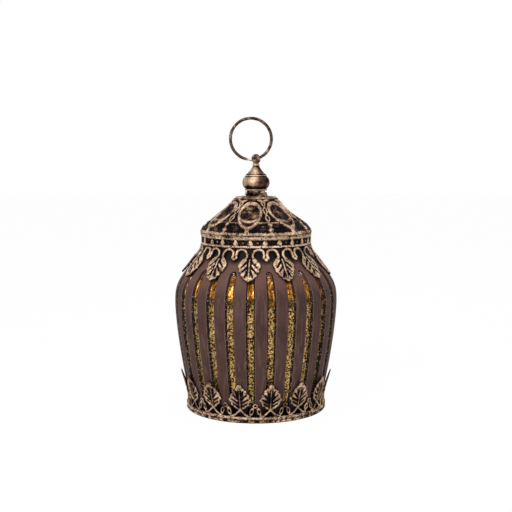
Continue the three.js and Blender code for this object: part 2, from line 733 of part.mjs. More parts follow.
function topLeafCells(gapMiddle) {
  const pairs = archPairs(gapMiddle);
  const arch = pairs
    .slice(1)
    .map(([outer, inner], i) => [pairs[i][0], pairs[i][1], inner, outer]);
  const along = (share) => TOP_STEM_HEIGHT - share * TOP_LEAF_DROP;
  const edge = ROUND_LEAF.map(([x, y]) => topSpot(x * TOP_LEAF_HALF_WIDTH, along(y)));
  const midrib = topSpot(0, along(MIDRIB_PEAK_SHARE), MIDRIB_RAISE);
  const leaf = [...edge.reverse(), pairs[0][1], pairs[0][0], midrib];
  const [beadTop, beadSide] = pairs[pairs.length - 1];
  const beadBottom = beadSide[1] - (beadTop[1] - beadSide[1]) - STRAND;
  const bead = [
    [gapMiddle, beadBottom],
    [gapMiddle, beadSide[1], STRAND],
    beadTop,
    beadSide,
  ];
  return [...arch, leaf, bead];
}

function topLeafCollar() {
  const cells = withMirror(topLeafCells(180 / TOP_LEAF_COUNT));
  return pressedSheet(
    roundTheCollar(TOP_LEAF_COUNT, TOP_LEAF_PHASE, cells),
    topCollarRadius,
    STRIP_THICKNESS,
  );
}

// The lid's outline from its edge up to the flat top, as a curve of radius and height.
const LID_CURVE = new THREE.CubicBezierCurve(
  new THREE.Vector2(LID_RIM_RADIUS, HOOP_TOP),
  new THREE.Vector2(LID_SHOULDER_RADIUS, HOOP_TOP + LID_SHOULDER_RISE),
  new THREE.Vector2(LID_WAIST_RADIUS, LID_TOP - LID_WAIST_DROP),
  new THREE.Vector2(LID_TOP_RADIUS, LID_TOP),
);

// A point on the lid's outside at a share of the way up its curve, raised by some height off the metal.
function onLid(angle, share, raise = 0) {
  const spot = LID_CURVE.getPoint(share);
  const slope = LID_CURVE.getTangent(share);
  return around(angle, spot.x + slope.y * raise, spot.y - slope.x * raise);
}

function lidSheet(phase) {
  const shares = Array.from({ length: LID_LEVELS + 1 }, (_, i) => i / LID_LEVELS);
  const outside = shares.map((share) => LID_CURVE.getPoint(share).toArray());
  const inside = shares.map((share) => {
    const spot = LID_CURVE.getPoint(share);
    const slope = LID_CURVE.getTangent(share);
    const height = Math.min(LID_TOP - LID_WALL, Math.max(HOOP_TOP, spot.y + slope.x * LID_WALL));
    return [spot.x - slope.y * LID_WALL, height];
  });
  const sheet = turned(
    [...outside, [STUD_BORE, LID_TOP], [STUD_BORE, LID_TOP - LID_WALL], ...inside.reverse()],
    LID_SIDES,
    true,
  );
  return sheet.rotateZ(radians(phase));
}

// An egg-shaped medallion, its narrow end down: a raised rim round a shallow floor.
function medallion(angle) {
  const middle = (MEDALLION_TOP + MEDALLION_BOTTOM) / 2;
  const reach = (MEDALLION_TOP - MEDALLION_BOTTOM) / 2;
  const egg = (inset, raise) => {
    const size = 1 - inset / MEDALLION_HALF_WIDTH;
    return repeated(MEDALLION_POINTS, 0, (turn) => {
      const up = Math.cos(radians(turn));
      const share = middle + reach * size * up;
      const width = MEDALLION_HALF_WIDTH * size * Math.sin(radians(-turn)) * (1 + EGG_FULLNESS * up);
      return onLid(angle + degreesFor(width, LID_CURVE.getPoint(share).x), share, raise);
    });
  };
  return stackedRings([
    egg(0, RELIEF_ROOT),
    egg(MEDALLION_RIM * 0.5, MEDALLION_RAISE),
    egg(MEDALLION_RIM, MEDALLION_DISH),
  ]);
}

// The ornament between two medallions: a post with two beads below, and a braid of two strands above,
// whose width swells between its crossings.
function spindle(angle) {
  const section = (share, halfWidth, raise) => {
    const turn = degreesFor(halfWidth, LID_CURVE.getPoint(share).x);
    return [
      onLid(angle, share, RELIEF_ROOT),
      onLid(angle - turn, share, RELIEF_EDGE),
      onLid(angle, share, raise),
      onLid(angle + turn, share, RELIEF_EDGE),
    ];
  };
  const braid = Array.from({ length: 2 * BRAID_CROSSINGS + 1 }, (_, i) => {
    const share = BRAID_BOTTOM + ((BRAID_TOP - BRAID_BOTTOM) * i) / (2 * BRAID_CROSSINGS);
    return section(share, i % 2 ? BRAID_HALF_WIDTH : BRAID_WAIST, BRAID_RAISE);
  });
  const between = (LOWER_BEAD_LEVEL + UPPER_BEAD_LEVEL) / 2;
  return stackedRings([
    section(POST_FOOT, POST_HALF_WIDTH, POST_HALF_WIDTH),
    section(LOWER_BEAD_LEVEL, LOWER_BEAD_HALF_WIDTH, LOWER_BEAD_HALF_WIDTH),
    section(between, POST_HALF_WIDTH, POST_HALF_WIDTH),
    section(UPPER_BEAD_LEVEL, UPPER_BEAD_HALF_WIDTH, UPPER_BEAD_HALF_WIDTH),
    ...braid,
  ]);
}

// A bar that ties two medallions together under the braid.
function bracket(angle) {
  const radius = LID_CURVE.getPoint(BRACKET_LEVEL).x;
  const reach = 180 / MEDALLION_COUNT - degreesFor(MEDALLION_HALF_WIDTH - MEDALLION_RIM, radius);
  const spots = [-1, -0.4, 0.4, 1].map((share) => onLid(angle + share * reach, BRACKET_LEVEL, RELIEF_EDGE));
  return strand(spots, BRACKET_STRAND / 2);
}

// The pressed lid with its relief.
function lidShell() {
  const between = MEDALLION_PHASE + 180 / MEDALLION_COUNT;
  return join([
    lidSheet(between),
    ...repeated(MEDALLION_COUNT, MEDALLION_PHASE, medallion),
    ...repeated(MEDALLION_COUNT, between, spindle),
    ...repeated(MEDALLION_COUNT, between, bracket),
  ]);
}

function lidHoop() {
  return hoop(HOOP_RADIUS - HOOP_WIDTH, HOOP_RADIUS, LID_SEAT, HOOP_TOP, GALLERY_SIDES);
}

function topPlate() {
  const round = PLATE_THICKNESS / 2;
  return turned(
    [
      [STUD_BORE, LID_TOP],
      [PLATE_RADIUS - round / 2, LID_TOP],
      [PLATE_RADIUS, LID_TOP + round],
      [PLATE_RADIUS - round, PLATE_TOP],
      [STUD_BORE, PLATE_TOP],
    ],
    FINIAL_SIDES,
    true,
  );
}

// Radius of the foot's plain cone at a height.
function footRadius(height) {
  const share = (height - PLATE_TOP) / FOOT_HEIGHT;
  return FOOT_BASE_RADIUS + (FOOT_WAIST_RADIUS - FOOT_BASE_RADIUS) * share;
}

function finialFoot() {
  return turned(
    [
      [STUD_BORE, PLATE_TOP],
      [FOOT_BASE_RADIUS, PLATE_TOP],
      [FOOT_WAIST_RADIUS, FOOT_TOP],
      [STUD_BORE, FOOT_TOP],
    ],
    FINIAL_SIDES,
    true,
  );
}

// The route of the wire wound round the foot, from the bottom up.
function bindingRoute() {
  const steps = BINDING_TURNS * BINDING_STEPS;
  const bottom = PLATE_TOP + (FOOT_HEIGHT - BINDING_PITCH * BINDING_TURNS) / 2;
  return Array.from({ length: steps + 1 }, (_, i) => {
    const turns = i / BINDING_STEPS;
    const height = bottom + turns * BINDING_PITCH;
    return around(turns * 360 + BINDING_START, footRadius(height) + BINDING_WIRE + GAP, height);
  });
}

// The least gap between one turn of a winding and the next.
function gapBetweenTurns(route, stepsInTurn, wireRadius) {
  let least = Infinity;
  route.forEach((spot, i) => {
    route.slice(i + stepsInTurn / 2).forEach((other) => {
      least = Math.min(least, spot.distanceTo(other) - 2 * wireRadius);
    });
  });
  return least;
}

// The wire as a tube whose sections stand square to its route.
function bindingWire() {
  const route = bindingRoute();
  const rings = route.map((spot) => {
    const outward = new THREE.Vector3(spot.x, spot.y, 0).normalize();
    return Array.from({ length: BINDING_SIDES }, (_, i) => {
      const turn = (2 * Math.PI * i) / BINDING_SIDES;
      const reach = outward.clone().multiplyScalar(BINDING_WIRE * Math.sin(turn));
      return spot.clone().add(reach).setZ(spot.z + BINDING_WIRE * Math.cos(turn));
    });
  });
  return stackedRings(rings);
}

function finialRing() {
  const round = WASHER_RING_HEIGHT / 2;
  return turned(
    [
      [STUD_BORE, FOOT_TOP],
      [WASHER_RING_RADIUS - round, FOOT_TOP],
      [WASHER_RING_RADIUS, FOOT_TOP + round],
      [WASHER_RING_RADIUS - round, ONION_BOTTOM],
      [STUD_BORE, ONION_BOTTOM],
    ],
    FINIAL_SIDES,
    true,
  );
}

// The onion: a full bulb, a ledge above it, and a waisted cone that runs up to the eye.
function finialOnion() {
  const ledge = ONION_BOTTOM + ONION_LEDGE_HEIGHT;
  const coneFoot = ledge + ONION_LEDGE_THICKNESS;
  const bulb = [0, 0.12, 0.3, 0.5, 0.7, 0.9, 1].map((share) => [
    ONION_RADIUS - (ONION_RADIUS - ONION_LEDGE_RADIUS) * Math.abs(2 * share - 1) ** ONION_FULLNESS,
    ONION_BOTTOM + ONION_LEDGE_HEIGHT * share,
  ]);
  const cone = [0, 0.3, 0.6, 0.85, 1].map((share) => [
    ONION_TOP_RADIUS + (ONION_LEDGE_RADIUS - ONION_TOP_RADIUS) * (1 - share) ** ONION_HOLLOW,
    coneFoot + (ONION_TOP - coneFoot) * share,
  ]);
  return turned([[STUD_BORE, ONION_BOTTOM], ...bulb, ...cone, [STUD_BORE, ONION_TOP]], FINIAL_SIDES, true);
}

// The eye's bore follows the wire where the leaning ring passes through it.
const RING_AXIS = new THREE.Vector3(Math.cos(radians(RING_LEAN)), 0, Math.sin(radians(RING_LEAN)));

function ringEye() {
  const arc = Array.from({ length: EYE_STEPS + 1 }, (_, i) => {
    const turn = radians(EYE_START + ((90 - EYE_START) * i) / EYE_STEPS);
    return [EYE_RADIUS * Math.cos(turn), EYE_HEIGHT + EYE_RADIUS * Math.sin(turn)];
  });
  arc[EYE_STEPS][0] = 0;
  const beadFoot = ONION_TOP + GAP;
  const body = turned(
    [
      [0, STUD_END],
      [STUD_RADIUS, STUD_END],
      [STUD_RADIUS, ONION_TOP],
      [EYE_BEAD_RADIUS - EYE_BEAD_ROUND, beadFoot],
      [EYE_BEAD_RADIUS, beadFoot + EYE_BEAD_ROUND],
      [EYE_BEAD_RADIUS - EYE_BEAD_ROUND, beadFoot + EYE_BEAD_HEIGHT],
      ...arc,
    ],
    FINIAL_SIDES / 2,
  );
  const boreRadius = RING_WIRE + EYE_CLEARANCE;
  const bore = new THREE.CylinderGeometry(boreRadius, boreRadius, EYE_RADIUS * 4, SCREW_SIDES);
  const aim = new THREE.Quaternion().setFromUnitVectors(new THREE.Vector3(0, 1, 0), RING_AXIS);
  return cut(body, [bore.applyQuaternion(aim).translate(0, 0, EYE_HEIGHT)]);
}

function hangingRing() {
  const lean = radians(RING_LEAN);
  const centre = new THREE.Vector3(
    -RING_RADIUS * Math.sin(lean),
    0,
    EYE_HEIGHT + RING_RADIUS * Math.cos(lean),
  );
  const atEye = Math.atan2(EYE_HEIGHT - centre.z, -centre.x);
  const start = atEye - radians(RING_SPLIT_PLACE);
  const sweep = 2 * Math.PI - radians(RING_SPLIT);
  const points = Array.from({ length: RING_STEPS + 1 }, (_, i) => {
    const turn = start - (sweep * i) / RING_STEPS;
    return new THREE.Vector3(
      centre.x + RING_RADIUS * Math.cos(turn),
      0,
      centre.z + RING_RADIUS * Math.sin(turn),
    );
  });
  return strand(points, RING_WIRE, 6);
}

function spacerTube() {
  return hoop(STUD_BORE, STUD_BORE + SPACER_WALL, HOOP_TOP, LID_TOP - LID_WALL, FINE_SIDES);
}

function studWasher() {
  return hoop(STUD_BORE, WASHER_RADIUS, HOUSING_UNDERSIDE - WASHER_HEIGHT, HOUSING_UNDERSIDE, FINE_SIDES);
}

function studNut() {
  const top = HOUSING_UNDERSIDE - WASHER_HEIGHT;
  const hexagon = disc(NUT_RADIUS, top - NUT_HEIGHT, top, NUT_SIDES);
  return cut(hexagon, [
    disc(STUD_BORE, top - NUT_HEIGHT - 1, top + 1, FINE_SIDES),
  ]);
}

const SCREW_ANGLES = repeated(SCREW_COUNT, 45, (angle) => angle);
const CELL_PLACE = new THREE.Vector3(-CELL_OFFSET, 0, 0);

// The housing: a cup that hangs mouth down under the lid, with screw bosses, board posts and a cell well.
function batteryHousing() {
  const shell = join([
    disc(HOUSING_RADIUS, COVER_TOP, HOOP_TOP, BORE_SIDES),
    disc(HOUSING_FLANGE_RADIUS, LID_SEAT, HOOP_TOP, BORE_SIDES),
  ]);
  const room = disc(HOUSING_RADIUS - HOUSING_WALL, COVER_TOP - 1, HOOP_TOP - HOUSING_TOP, BORE_SIDES);
  const hollow = cut(shell, [room]);
  const roof = HOOP_TOP - HOUSING_TOP / 2;
  const boss = (angle) =>
    moved(disc(BOSS_RADIUS, COVER_TOP, roof, SCREW_SIDES), around(angle, SCREW_CIRCLE, 0));
  const boardPost = (side) =>
    moved(disc(POST_RADIUS, BOARD_TOP, roof, SCREW_SIDES), {
      x: POST_PLACE,
      y: side * POST_PLACE,
    });
  const well = moved(disc(WELL_RADIUS, CELLS_BOTTOM, roof, SMALL_SIDES), CELL_PLACE);
  const wellRoom = moved(disc(CELL_RADIUS + GAP, CELLS_BOTTOM - 1, WELL_ROOF, SMALL_SIDES), CELL_PLACE);
  const contactSlot = block(
    WELL_WALL * 2 + GAP,
    CONTACT_WIDTH + 2 * GAP,
    CELLS_BOTTOM - 1,
    BOARD_BOTTOM + GAP,
    -CELL_OFFSET + CELL_RADIUS + GAP + WELL_WALL / 2,
  );
  const pilots = SCREW_ANGLES.map((angle) => {
    const pilot = disc(SCREW_RADIUS + GAP, COVER_TOP - 1, COVER_TOP + SCREW_LENGTH, SCREW_SIDES);
    return moved(pilot, around(angle, SCREW_CIRCLE, 0));
  });
  const studHole = disc(STUD_BORE, COVER_TOP, HOOP_TOP + 1, FINE_SIDES);
  const solidParts = join([hollow, well, ...SCREW_ANGLES.map(boss), boardPost(-1), boardPost(1)]);
  return cut(solidParts, [wellRoom, contactSlot, studHole, ...pilots]);
}

// A bar across the door at a height, turned by an angle: the lugs, or the notches that let them through.
function doorBar(width, reach, bottom, top, turn) {
  const bar = new THREE.BoxGeometry(width, 2 * reach, top - bottom);
  return bar.rotateZ(radians(turn)).translate(-CELL_OFFSET, 0, (bottom + top) / 2);
}

function housingCover() {
  const plate = disc(HOUSING_RADIUS, COVER_BOTTOM, COVER_TOP, BORE_SIDES);
  const through = [COVER_BOTTOM - 1, COVER_TOP + 1];
  const lugReach = DOOR_OPENING + DOOR_LUG_REACH + GAP;
  return cut(plate, [
    moved(disc(DOOR_OPENING, ...through, DOOR_SIDES), CELL_PLACE),
    doorBar(DOOR_LUG_WIDTH + 2 * GAP, lugReach, ...through, DOOR_TURN),
    disc(LEAD_HOLE_RADIUS, ...through, FINE_SIDES),
    block(SLIDER_WIDTH + 2 * GAP, SLIDER_WIDTH + SWITCH_TRAVEL + 2 * GAP, ...through, SWITCH_OFFSET),
    ...SCREW_ANGLES.map((angle) =>
      moved(disc(SCREW_RADIUS + GAP, ...through, SCREW_SIDES), around(angle, SCREW_CIRCLE, 0)),
    ),
  ]);
}

function coverScrew(angle) {
  const headBottom = COVER_BOTTOM - SCREW_HEAD_HEIGHT;
  const screw = turned(
    [
      [0, headBottom],
      [SCREW_HEAD_RADIUS - SCREW_HEAD_CHAMFER, headBottom],
      [SCREW_HEAD_RADIUS, COVER_BOTTOM],
      [SCREW_RADIUS, COVER_BOTTOM],
      [SCREW_RADIUS, COVER_BOTTOM + SCREW_LENGTH],
      [0, COVER_BOTTOM + SCREW_LENGTH + SCREW_POINT],
    ],
    SCREW_SIDES,
  );
  const slot = block(3 * SCREW_HEAD_RADIUS, SCREW_SLOT, headBottom - 1, headBottom + SCREW_SLOT_DEPTH);
  const spot = around(angle, SCREW_CIRCLE, 0);
  return cut(moved(screw, spot), [moved(slot, spot)]);
}

// A silicone ring with two lips that grips the bore of the neck.
function gasket() {
  const inner = HOUSING_RADIUS + GAP;
  const outer = GASKET_RADIUS;
  const lip = GASKET_HEIGHT / GASKET_LIPS;
  const outline = [[inner, GASKET_BOTTOM]];
  for (let i = 0; i < GASKET_LIPS; i++) {
    outline.push([outer - GASKET_LIP_DEPTH, GASKET_BOTTOM + i * lip]);
    outline.push([outer, GASKET_BOTTOM + (i + 0.5) * lip]);
  }
  outline.push([outer - GASKET_LIP_DEPTH, GASKET_BOTTOM + GASKET_HEIGHT]);
  outline.push([inner, GASKET_BOTTOM + GASKET_HEIGHT]);
  return turned(outline, BORE_SIDES, true);
}

function cell(index) {
  const bottom = CELLS_BOTTOM + index * CELL_HEIGHT;
  const body = turned(
    [
      [0, bottom],
      [CELL_RADIUS - CELL_RIM, bottom],
      [CELL_RADIUS - CELL_RIM, bottom + CELL_ROUND],
      [CELL_RADIUS, bottom + CELL_ROUND],
      [CELL_RADIUS, bottom + CELL_HEIGHT - CELL_ROUND],
      [CELL_RADIUS - CELL_ROUND, bottom + CELL_HEIGHT],
      [0, bottom + CELL_HEIGHT],
    ],
    SMALL_SIDES,
  );
  return moved(body, CELL_PLACE);
}

// A dished spring washer between the upper cell and the roof of its well.
function springContact() {
  const bottom = CELLS_TOP + GAP;
  const body = turned(
    [
      [SPRING_BORE, bottom],
      [SPRING_BORE + SPRING_SEAT, bottom],
      [SPRING_RADIUS, WELL_ROOF - CONTACT_THICKNESS],
      [SPRING_RADIUS, WELL_ROOF],
      [SPRING_RADIUS - CONTACT_THICKNESS, WELL_ROOF],
      [SPRING_BORE + CONTACT_THICKNESS, bottom + CONTACT_THICKNESS],
      [SPRING_BORE, bottom + CONTACT_THICKNESS],
    ],
    SMALL_SIDES,
    true,
  );
  return moved(body, CELL_PLACE);
}

// A bent strip that touches the cells' edge and runs in to the board.
function sideContact() {
  const face = -CELL_OFFSET + CELL_RADIUS + GAP;
  const top = BOARD_BOTTOM;
  return join([
    block(CONTACT_THICKNESS, CONTACT_WIDTH, CELLS_BOTTOM, top, face + CONTACT_THICKNESS / 2),
    block(CONTACT_REACH, CONTACT_WIDTH, top - CONTACT_THICKNESS, top, face + CONTACT_REACH / 2),
  ]);
}

function batteryDoor() {
  const backFoot = COVER_BOTTOM + DOOR_THICKNESS / 2;
  const body = join([
    moved(disc(DOOR_RADIUS, COVER_BOTTOM, COVER_BOTTOM + DOOR_THICKNESS, DOOR_SIDES), CELL_PLACE),
    moved(disc(DOOR_RADIUS - DOOR_LEDGE, backFoot, DOOR_TOP, DOOR_SIDES), CELL_PLACE),
    doorBar(DOOR_LUG_WIDTH, DOOR_OPENING + DOOR_LUG_REACH, COVER_TOP + GAP, DOOR_TOP, 0),
  ]);
  const slot = doorBar(COIN_SLOT, COIN_SLOT_REACH, COVER_BOTTOM - 1, COVER_BOTTOM + COIN_SLOT_DEPTH, 90);
  return cut(body, [slot]);
}

function circuitBoard() {
  const board = disc(BOARD_RADIUS, BOARD_BOTTOM, BOARD_TOP, BORE_SIDES);
  const through = [BOARD_BOTTOM - 1, BOARD_TOP + 1];
  return cut(board, [
    moved(disc(CELL_RADIUS + WELL_WALL + 2 * GAP, ...through, SMALL_SIDES), CELL_PLACE),
    disc(LEAD_HOLE_RADIUS, ...through, FINE_SIDES),
  ]);
}

function timerChip() {
  return block(CHIP_LENGTH, CHIP_WIDTH, BOARD_BOTTOM - CHIP_HEIGHT, BOARD_BOTTOM, CHIP_X, CHIP_Y);
}

function switchBody() {
  const top = BOARD_BOTTOM;
  return block(SWITCH_WIDTH, SWITCH_LENGTH, top - SWITCH_HEIGHT, top, SWITCH_OFFSET);
}

function switchSlider() {
  const rest = -SWITCH_TRAVEL / 2;
  const top = BOARD_BOTTOM - SWITCH_HEIGHT - GAP;
  const knobTop = COVER_BOTTOM - GAP;
  const knobWidth = SLIDER_WIDTH + 2 * KNOB_LEDGE;
  return join([
    block(SLIDER_WIDTH, SLIDER_WIDTH, COVER_BOTTOM - SLIDER_STAND, top, SWITCH_OFFSET, rest),
    block(knobWidth, SLIDER_WIDTH, COVER_BOTTOM - SLIDER_STAND, knobTop, SWITCH_OFFSET, rest),
  ]);
}

function lampSocket() {
  const bottom = COVER_BOTTOM - SOCKET_LENGTH;
  return turned(
    [
      [SOCKET_RADIUS - SOCKET_WALL, bottom],
      [SOCKET_RADIUS - SOCKET_ROUND, bottom],
      [SOCKET_RADIUS, bottom + SOCKET_ROUND],
      [SOCKET_RADIUS, COVER_BOTTOM],
      [LEAD_HOLE_RADIUS, COVER_BOTTOM],
      [LEAD_HOLE_RADIUS, COVER_BOTTOM - SOCKET_TOP],
      [SOCKET_RADIUS - SOCKET_WALL, COVER_BOTTOM - SOCKET_TOP],
    ],
    SMALL_SIDES,
    true,
  );
}

// The lamp's cap, with a rolled thread below the socket.
function lampCap() {
  const bottom = CAP_TOP - CAP_LENGTH;
  const threadTop = COVER_BOTTOM - SOCKET_LENGTH - GAP;
  const pitch = (threadTop - bottom) / THREAD_TURNS;
  const outline = [[CAP_RADIUS - CAP_WALL, bottom]];
  for (let i = 0; i < THREAD_TURNS; i++) {
    outline.push([CAP_RADIUS, bottom + i * pitch]);
    outline.push([CAP_RADIUS + THREAD_DEPTH, bottom + (i + 0.5) * pitch]);
  }
  outline.push(
    [CAP_RADIUS, threadTop],
    [CAP_RADIUS, CAP_TOP],
    [0, CAP_TOP],
    [0, CAP_TOP - CAP_CROWN],
    [CAP_RADIUS - CAP_WALL, CAP_TOP - CAP_CROWN],
  );
  outline.push(outline[0]);
  return turned(outline, SMALL_SIDES);
}

// Radius of the bulb at a distance down from its open neck.
function bulbRadius(drop) {
  const centre = BULB_LENGTH - BULB_RADIUS;
  if (drop >= centre) return Math.sqrt(Math.max(0, BULB_RADIUS ** 2 - (drop - centre) ** 2));
  const share = THREE.MathUtils.smoothstep(drop, CAP_LENGTH, centre);
  return BULB_NECK_RADIUS + (BULB_RADIUS - BULB_NECK_RADIUS) * Math.sqrt(share);
}

function lampBulb() {
  const belowNeck = [0, 0.1, 0.28, 0.5, 0.7, 0.85, 0.96].map(
    (share) => CAP_LENGTH + share * (BULB_LENGTH - CAP_LENGTH),
  );
  const drops = [0, ...belowNeck];
  const outside = drops.map((drop) => [bulbRadius(drop), BULB_TOP - drop]);
  const inside = drops.map((drop) => [
    bulbRadius(drop) - BULB_WALL,
    BULB_TOP - Math.min(drop, BULB_LENGTH - BULB_WALL),
  ]);
  return turned(
    [[0, BULB_TOP - BULB_LENGTH], ...outside.reverse(), ...inside, [0, BULB_TOP - BULB_LENGTH + BULB_WALL]],
    BULB_SIDES,
  );
}

const FILAMENT_TOP = STEM_TOP - FILAMENT_TOP_DROP;
const FILAMENT_FOOT = STEM_TOP - STEM_LENGTH;

// The stem that carries the filaments: a plug in the neck, a rod, four arms and a foot disc.
function lampStem() {
  const rod = turned(
    [
      [0, FILAMENT_FOOT],
      [FILAMENT_FOOT_CIRCLE + FILAMENT_RADIUS, FILAMENT_FOOT],
      [FILAMENT_FOOT_CIRCLE + FILAMENT_RADIUS, FILAMENT_FOOT + STEM_FOOT],
      [STEM_RADIUS, FILAMENT_FOOT + 2 * STEM_FOOT],
      [STEM_RADIUS, STEM_TOP - STEM_BASE_LENGTH - STEM_TAPER],
      [STEM_BASE_RADIUS, STEM_TOP - STEM_BASE_LENGTH],
      [STEM_BASE_RADIUS, STEM_TOP],
      [0, STEM_TOP],
    ],
    FINE_SIDES,
  );
  const arms = [45, -45].map((turn) => {
    const reach = 2 * (FILAMENT_TOP_CIRCLE + FILAMENT_RADIUS);
    const arm = new THREE.BoxGeometry(reach, STEM_ARM, STEM_ARM).rotateZ(radians(turn));
    return arm.translate(0, 0, FILAMENT_TOP + STEM_ARM / 2);
  });
  return join([rod, ...arms]);
}

function filament(angle) {
  const top = around(angle, FILAMENT_TOP_CIRCLE, FILAMENT_TOP - GAP);
  const foot = around(angle, FILAMENT_FOOT_CIRCLE, FILAMENT_FOOT + STEM_FOOT + GAP);
  return strand([foot, foot.clone().lerp(top, 0.5), top], FILAMENT_RADIUS, 6);
}

// A lead from its joint under the board, in through the hole in the cover and down to the cap. Its bends
// are at shares of its spread and of its way back, each at a height.
function lead(side) {
  const bends = [
    [1, 1, BOARD_BOTTOM - GAP],
    [0.95, 0.88, BOARD_BOTTOM - LEAD_DROP],
    [0.4, 0.32, COVER_TOP + 2 * LEAD_RADIUS],
    [0.24, 0.08, COVER_BOTTOM],
    [0.22, 0, CAP_TOP + GAP],
  ];
  const points = bends.map(
    ([out, back, height]) => new THREE.Vector3(side * out * LEAD_SPREAD, back * LEAD_BACK, height),
  );
  return strand(points, LEAD_RADIUS, 6, 10);
}

const FINISHES = {
  bronze: { color: 0xa58164, roughness: 0.45, metalness: 0.8 },
  glass: { color: 0x513a35, roughness: 0.35, metalness: 0.1 },
  steel: { color: 0xb8bab8, roughness: 0.35, metalness: 1 },
  brass: { color: 0xc9a45a, roughness: 0.3, metalness: 1 },
  black: { color: 0x1d1d1f, roughness: 0.5, metalness: 0 },
  clear: { color: 0xf2efe6, roughness: 0.05, metalness: 0, transparent: true, opacity: 0.35 },
  rubber: { color: 0xd8d6cf, roughness: 0.6, metalness: 0 },
  board: { color: 0x1f5a3a, roughness: 0.5, metalness: 0 },
  phosphor: { color: 0xf0c050, roughness: 0.5, metalness: 0 },
  red: { color: 0xa01c18, roughness: 0.5, metalness: 0 },
};

const lantern = new THREE.Group();

function place(name, body, finish, group = lantern) {
  const geometry = geometryOf(solid(body));
  geometry.computeVertexNormals();
  const mesh = new THREE.Mesh(geometry, new THREE.MeshStandardMaterial(FINISHES[finish]));
  mesh.name = name;
  group.add(mesh);
}

place("base_rim", baseRim(), "bronze");
place("base_leaf_collar", baseLeafCollar(), "bronze");
place("glass_jar", glassJar(), "glass");
place("neck_gallery", gallery(), "bronze");
place("top_leaf_collar", topLeafCollar(), "bronze");

const lid = new THREE.Group();
lantern.add(lid);
place("lid_shell", lidShell(), "bronze", lid);
place("lid_hoop", lidHoop(), "bronze", lid);
place("top_plate", topPlate(), "bronze", lid);
place("finial_foot", finialFoot(), "bronze", lid);
place("binding_wire", bindingWire(), "bronze", lid);
place("finial_ring", finialRing(), "bronze", lid);
place("finial_onion", finialOnion(), "bronze", lid);
place("ring_eye_stud", ringEye(), "bronze", lid);
place("spacer_tube", spacerTube(), "steel", lid);
place("stud_washer", studWasher(), "steel", lid);
place("stud_nut", studNut(), "steel", lid);
place("hanging_ring", hangingRing(), "bronze", lid);

const lamp = new THREE.Group();
lid.add(lamp);
place("battery_housing", batteryHousing(), "black", lamp);
place("housing_cover", housingCover(), "black", lamp);
place("neck_gasket", gasket(), "rubber", lamp);
SCREW_ANGLES.forEach((angle, i) => place(`cover_screw_${i + 1}`, coverScrew(angle), "steel", lamp));
for (let i = 0; i < CELL_COUNT; i++) place(`coin_cell_${i + 1}`, cell(i), "steel", lamp);
place("spring_contact", springContact(), "steel", lamp);
place("side_contact", sideContact(), "steel", lamp);
place("battery_door", batteryDoor(), "black", lamp);
place("circuit_board", circuitBoard(), "board", lamp);
place("timer_chip", timerChip(), "black", lamp);
place("switch_body", switchBody(), "steel", lamp);
place("switch_slider", switchSlider(), "black", lamp);
place("lamp_socket", lampSocket(), "black", lamp);
place("lamp_cap", lampCap(), "brass", lamp);
place("lamp_bulb", lampBulb(), "clear", lamp);
place("lamp_stem", lampStem(), "clear", lamp);
repeated(FILAMENT_COUNT, 45, (angle) => angle).forEach((angle, i) =>
  place(`filament_${i + 1}`, filament(angle), "phosphor", lamp),
);
place("lead_positive", lead(1), "red", lamp);
place("lead_negative", lead(-1), "black", lamp);

const windingGap = gapBetweenTurns(bindingRoute(), BINDING_STEPS, BINDING_WIRE);
console.log(`binding_wire: least gap between turns ${windingGap.toFixed(2)} mm`);

export default lantern;
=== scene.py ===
# A small table lantern: a fluted jar of mirrored glass between stamped bronze collars, and a lift-off lid
# with a turned finial, a hanging ring and the battery lamp that reaches down into the jar.
# The frame is in metres. Shapes are worked out in millimetres here, and scaled once where a mesh is made.
import math

import bpy
import numpy as np
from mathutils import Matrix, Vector
from mathutils.geometry import tessellate_polygon


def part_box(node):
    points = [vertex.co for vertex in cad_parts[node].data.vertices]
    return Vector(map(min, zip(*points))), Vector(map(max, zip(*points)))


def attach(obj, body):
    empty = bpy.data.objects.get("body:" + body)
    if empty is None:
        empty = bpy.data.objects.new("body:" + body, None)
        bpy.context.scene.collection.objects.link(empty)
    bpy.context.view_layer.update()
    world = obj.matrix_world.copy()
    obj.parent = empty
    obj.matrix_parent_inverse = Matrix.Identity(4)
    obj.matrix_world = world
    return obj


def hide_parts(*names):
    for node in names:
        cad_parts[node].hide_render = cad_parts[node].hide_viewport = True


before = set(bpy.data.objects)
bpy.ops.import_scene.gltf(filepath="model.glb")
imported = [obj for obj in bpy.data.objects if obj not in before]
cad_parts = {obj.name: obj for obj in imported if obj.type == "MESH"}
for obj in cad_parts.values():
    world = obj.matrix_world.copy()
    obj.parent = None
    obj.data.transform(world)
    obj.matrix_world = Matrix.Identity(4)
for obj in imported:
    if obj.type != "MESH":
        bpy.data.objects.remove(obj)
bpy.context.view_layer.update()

MM = 0.001
UP = np.array([0.0, 0.0, 1.0])


def box_mm(node):
    low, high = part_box(node)
    return np.array(low) / MM, np.array(high) / MM


def bottom_of(node):
    return box_mm(node)[0][2]


def top_of(node):
    return box_mm(node)[1][2]


def span_of(node):
    return bottom_of(node), top_of(node)


def radius_of(node):
    low, high = box_mm(node)
    return min(high[0], high[1], -low[0], -low[1])


# Camera and stage, with the floor's size in metres
CAMERA_BACK = 680
CAMERA_HEIGHT = 184
AIM_HEIGHT = 111.4
LENS = 65.5
SENSOR = 36
FLOOR_SIZE = 8
FLOOR_GLOW = 0.975
WORLD_LEVEL = 0.4
KEY_LEVEL = 0.5
FILL_LEVEL = 0.16
TOP_LEVEL = 0.25
BACK_LEVEL = 0.15

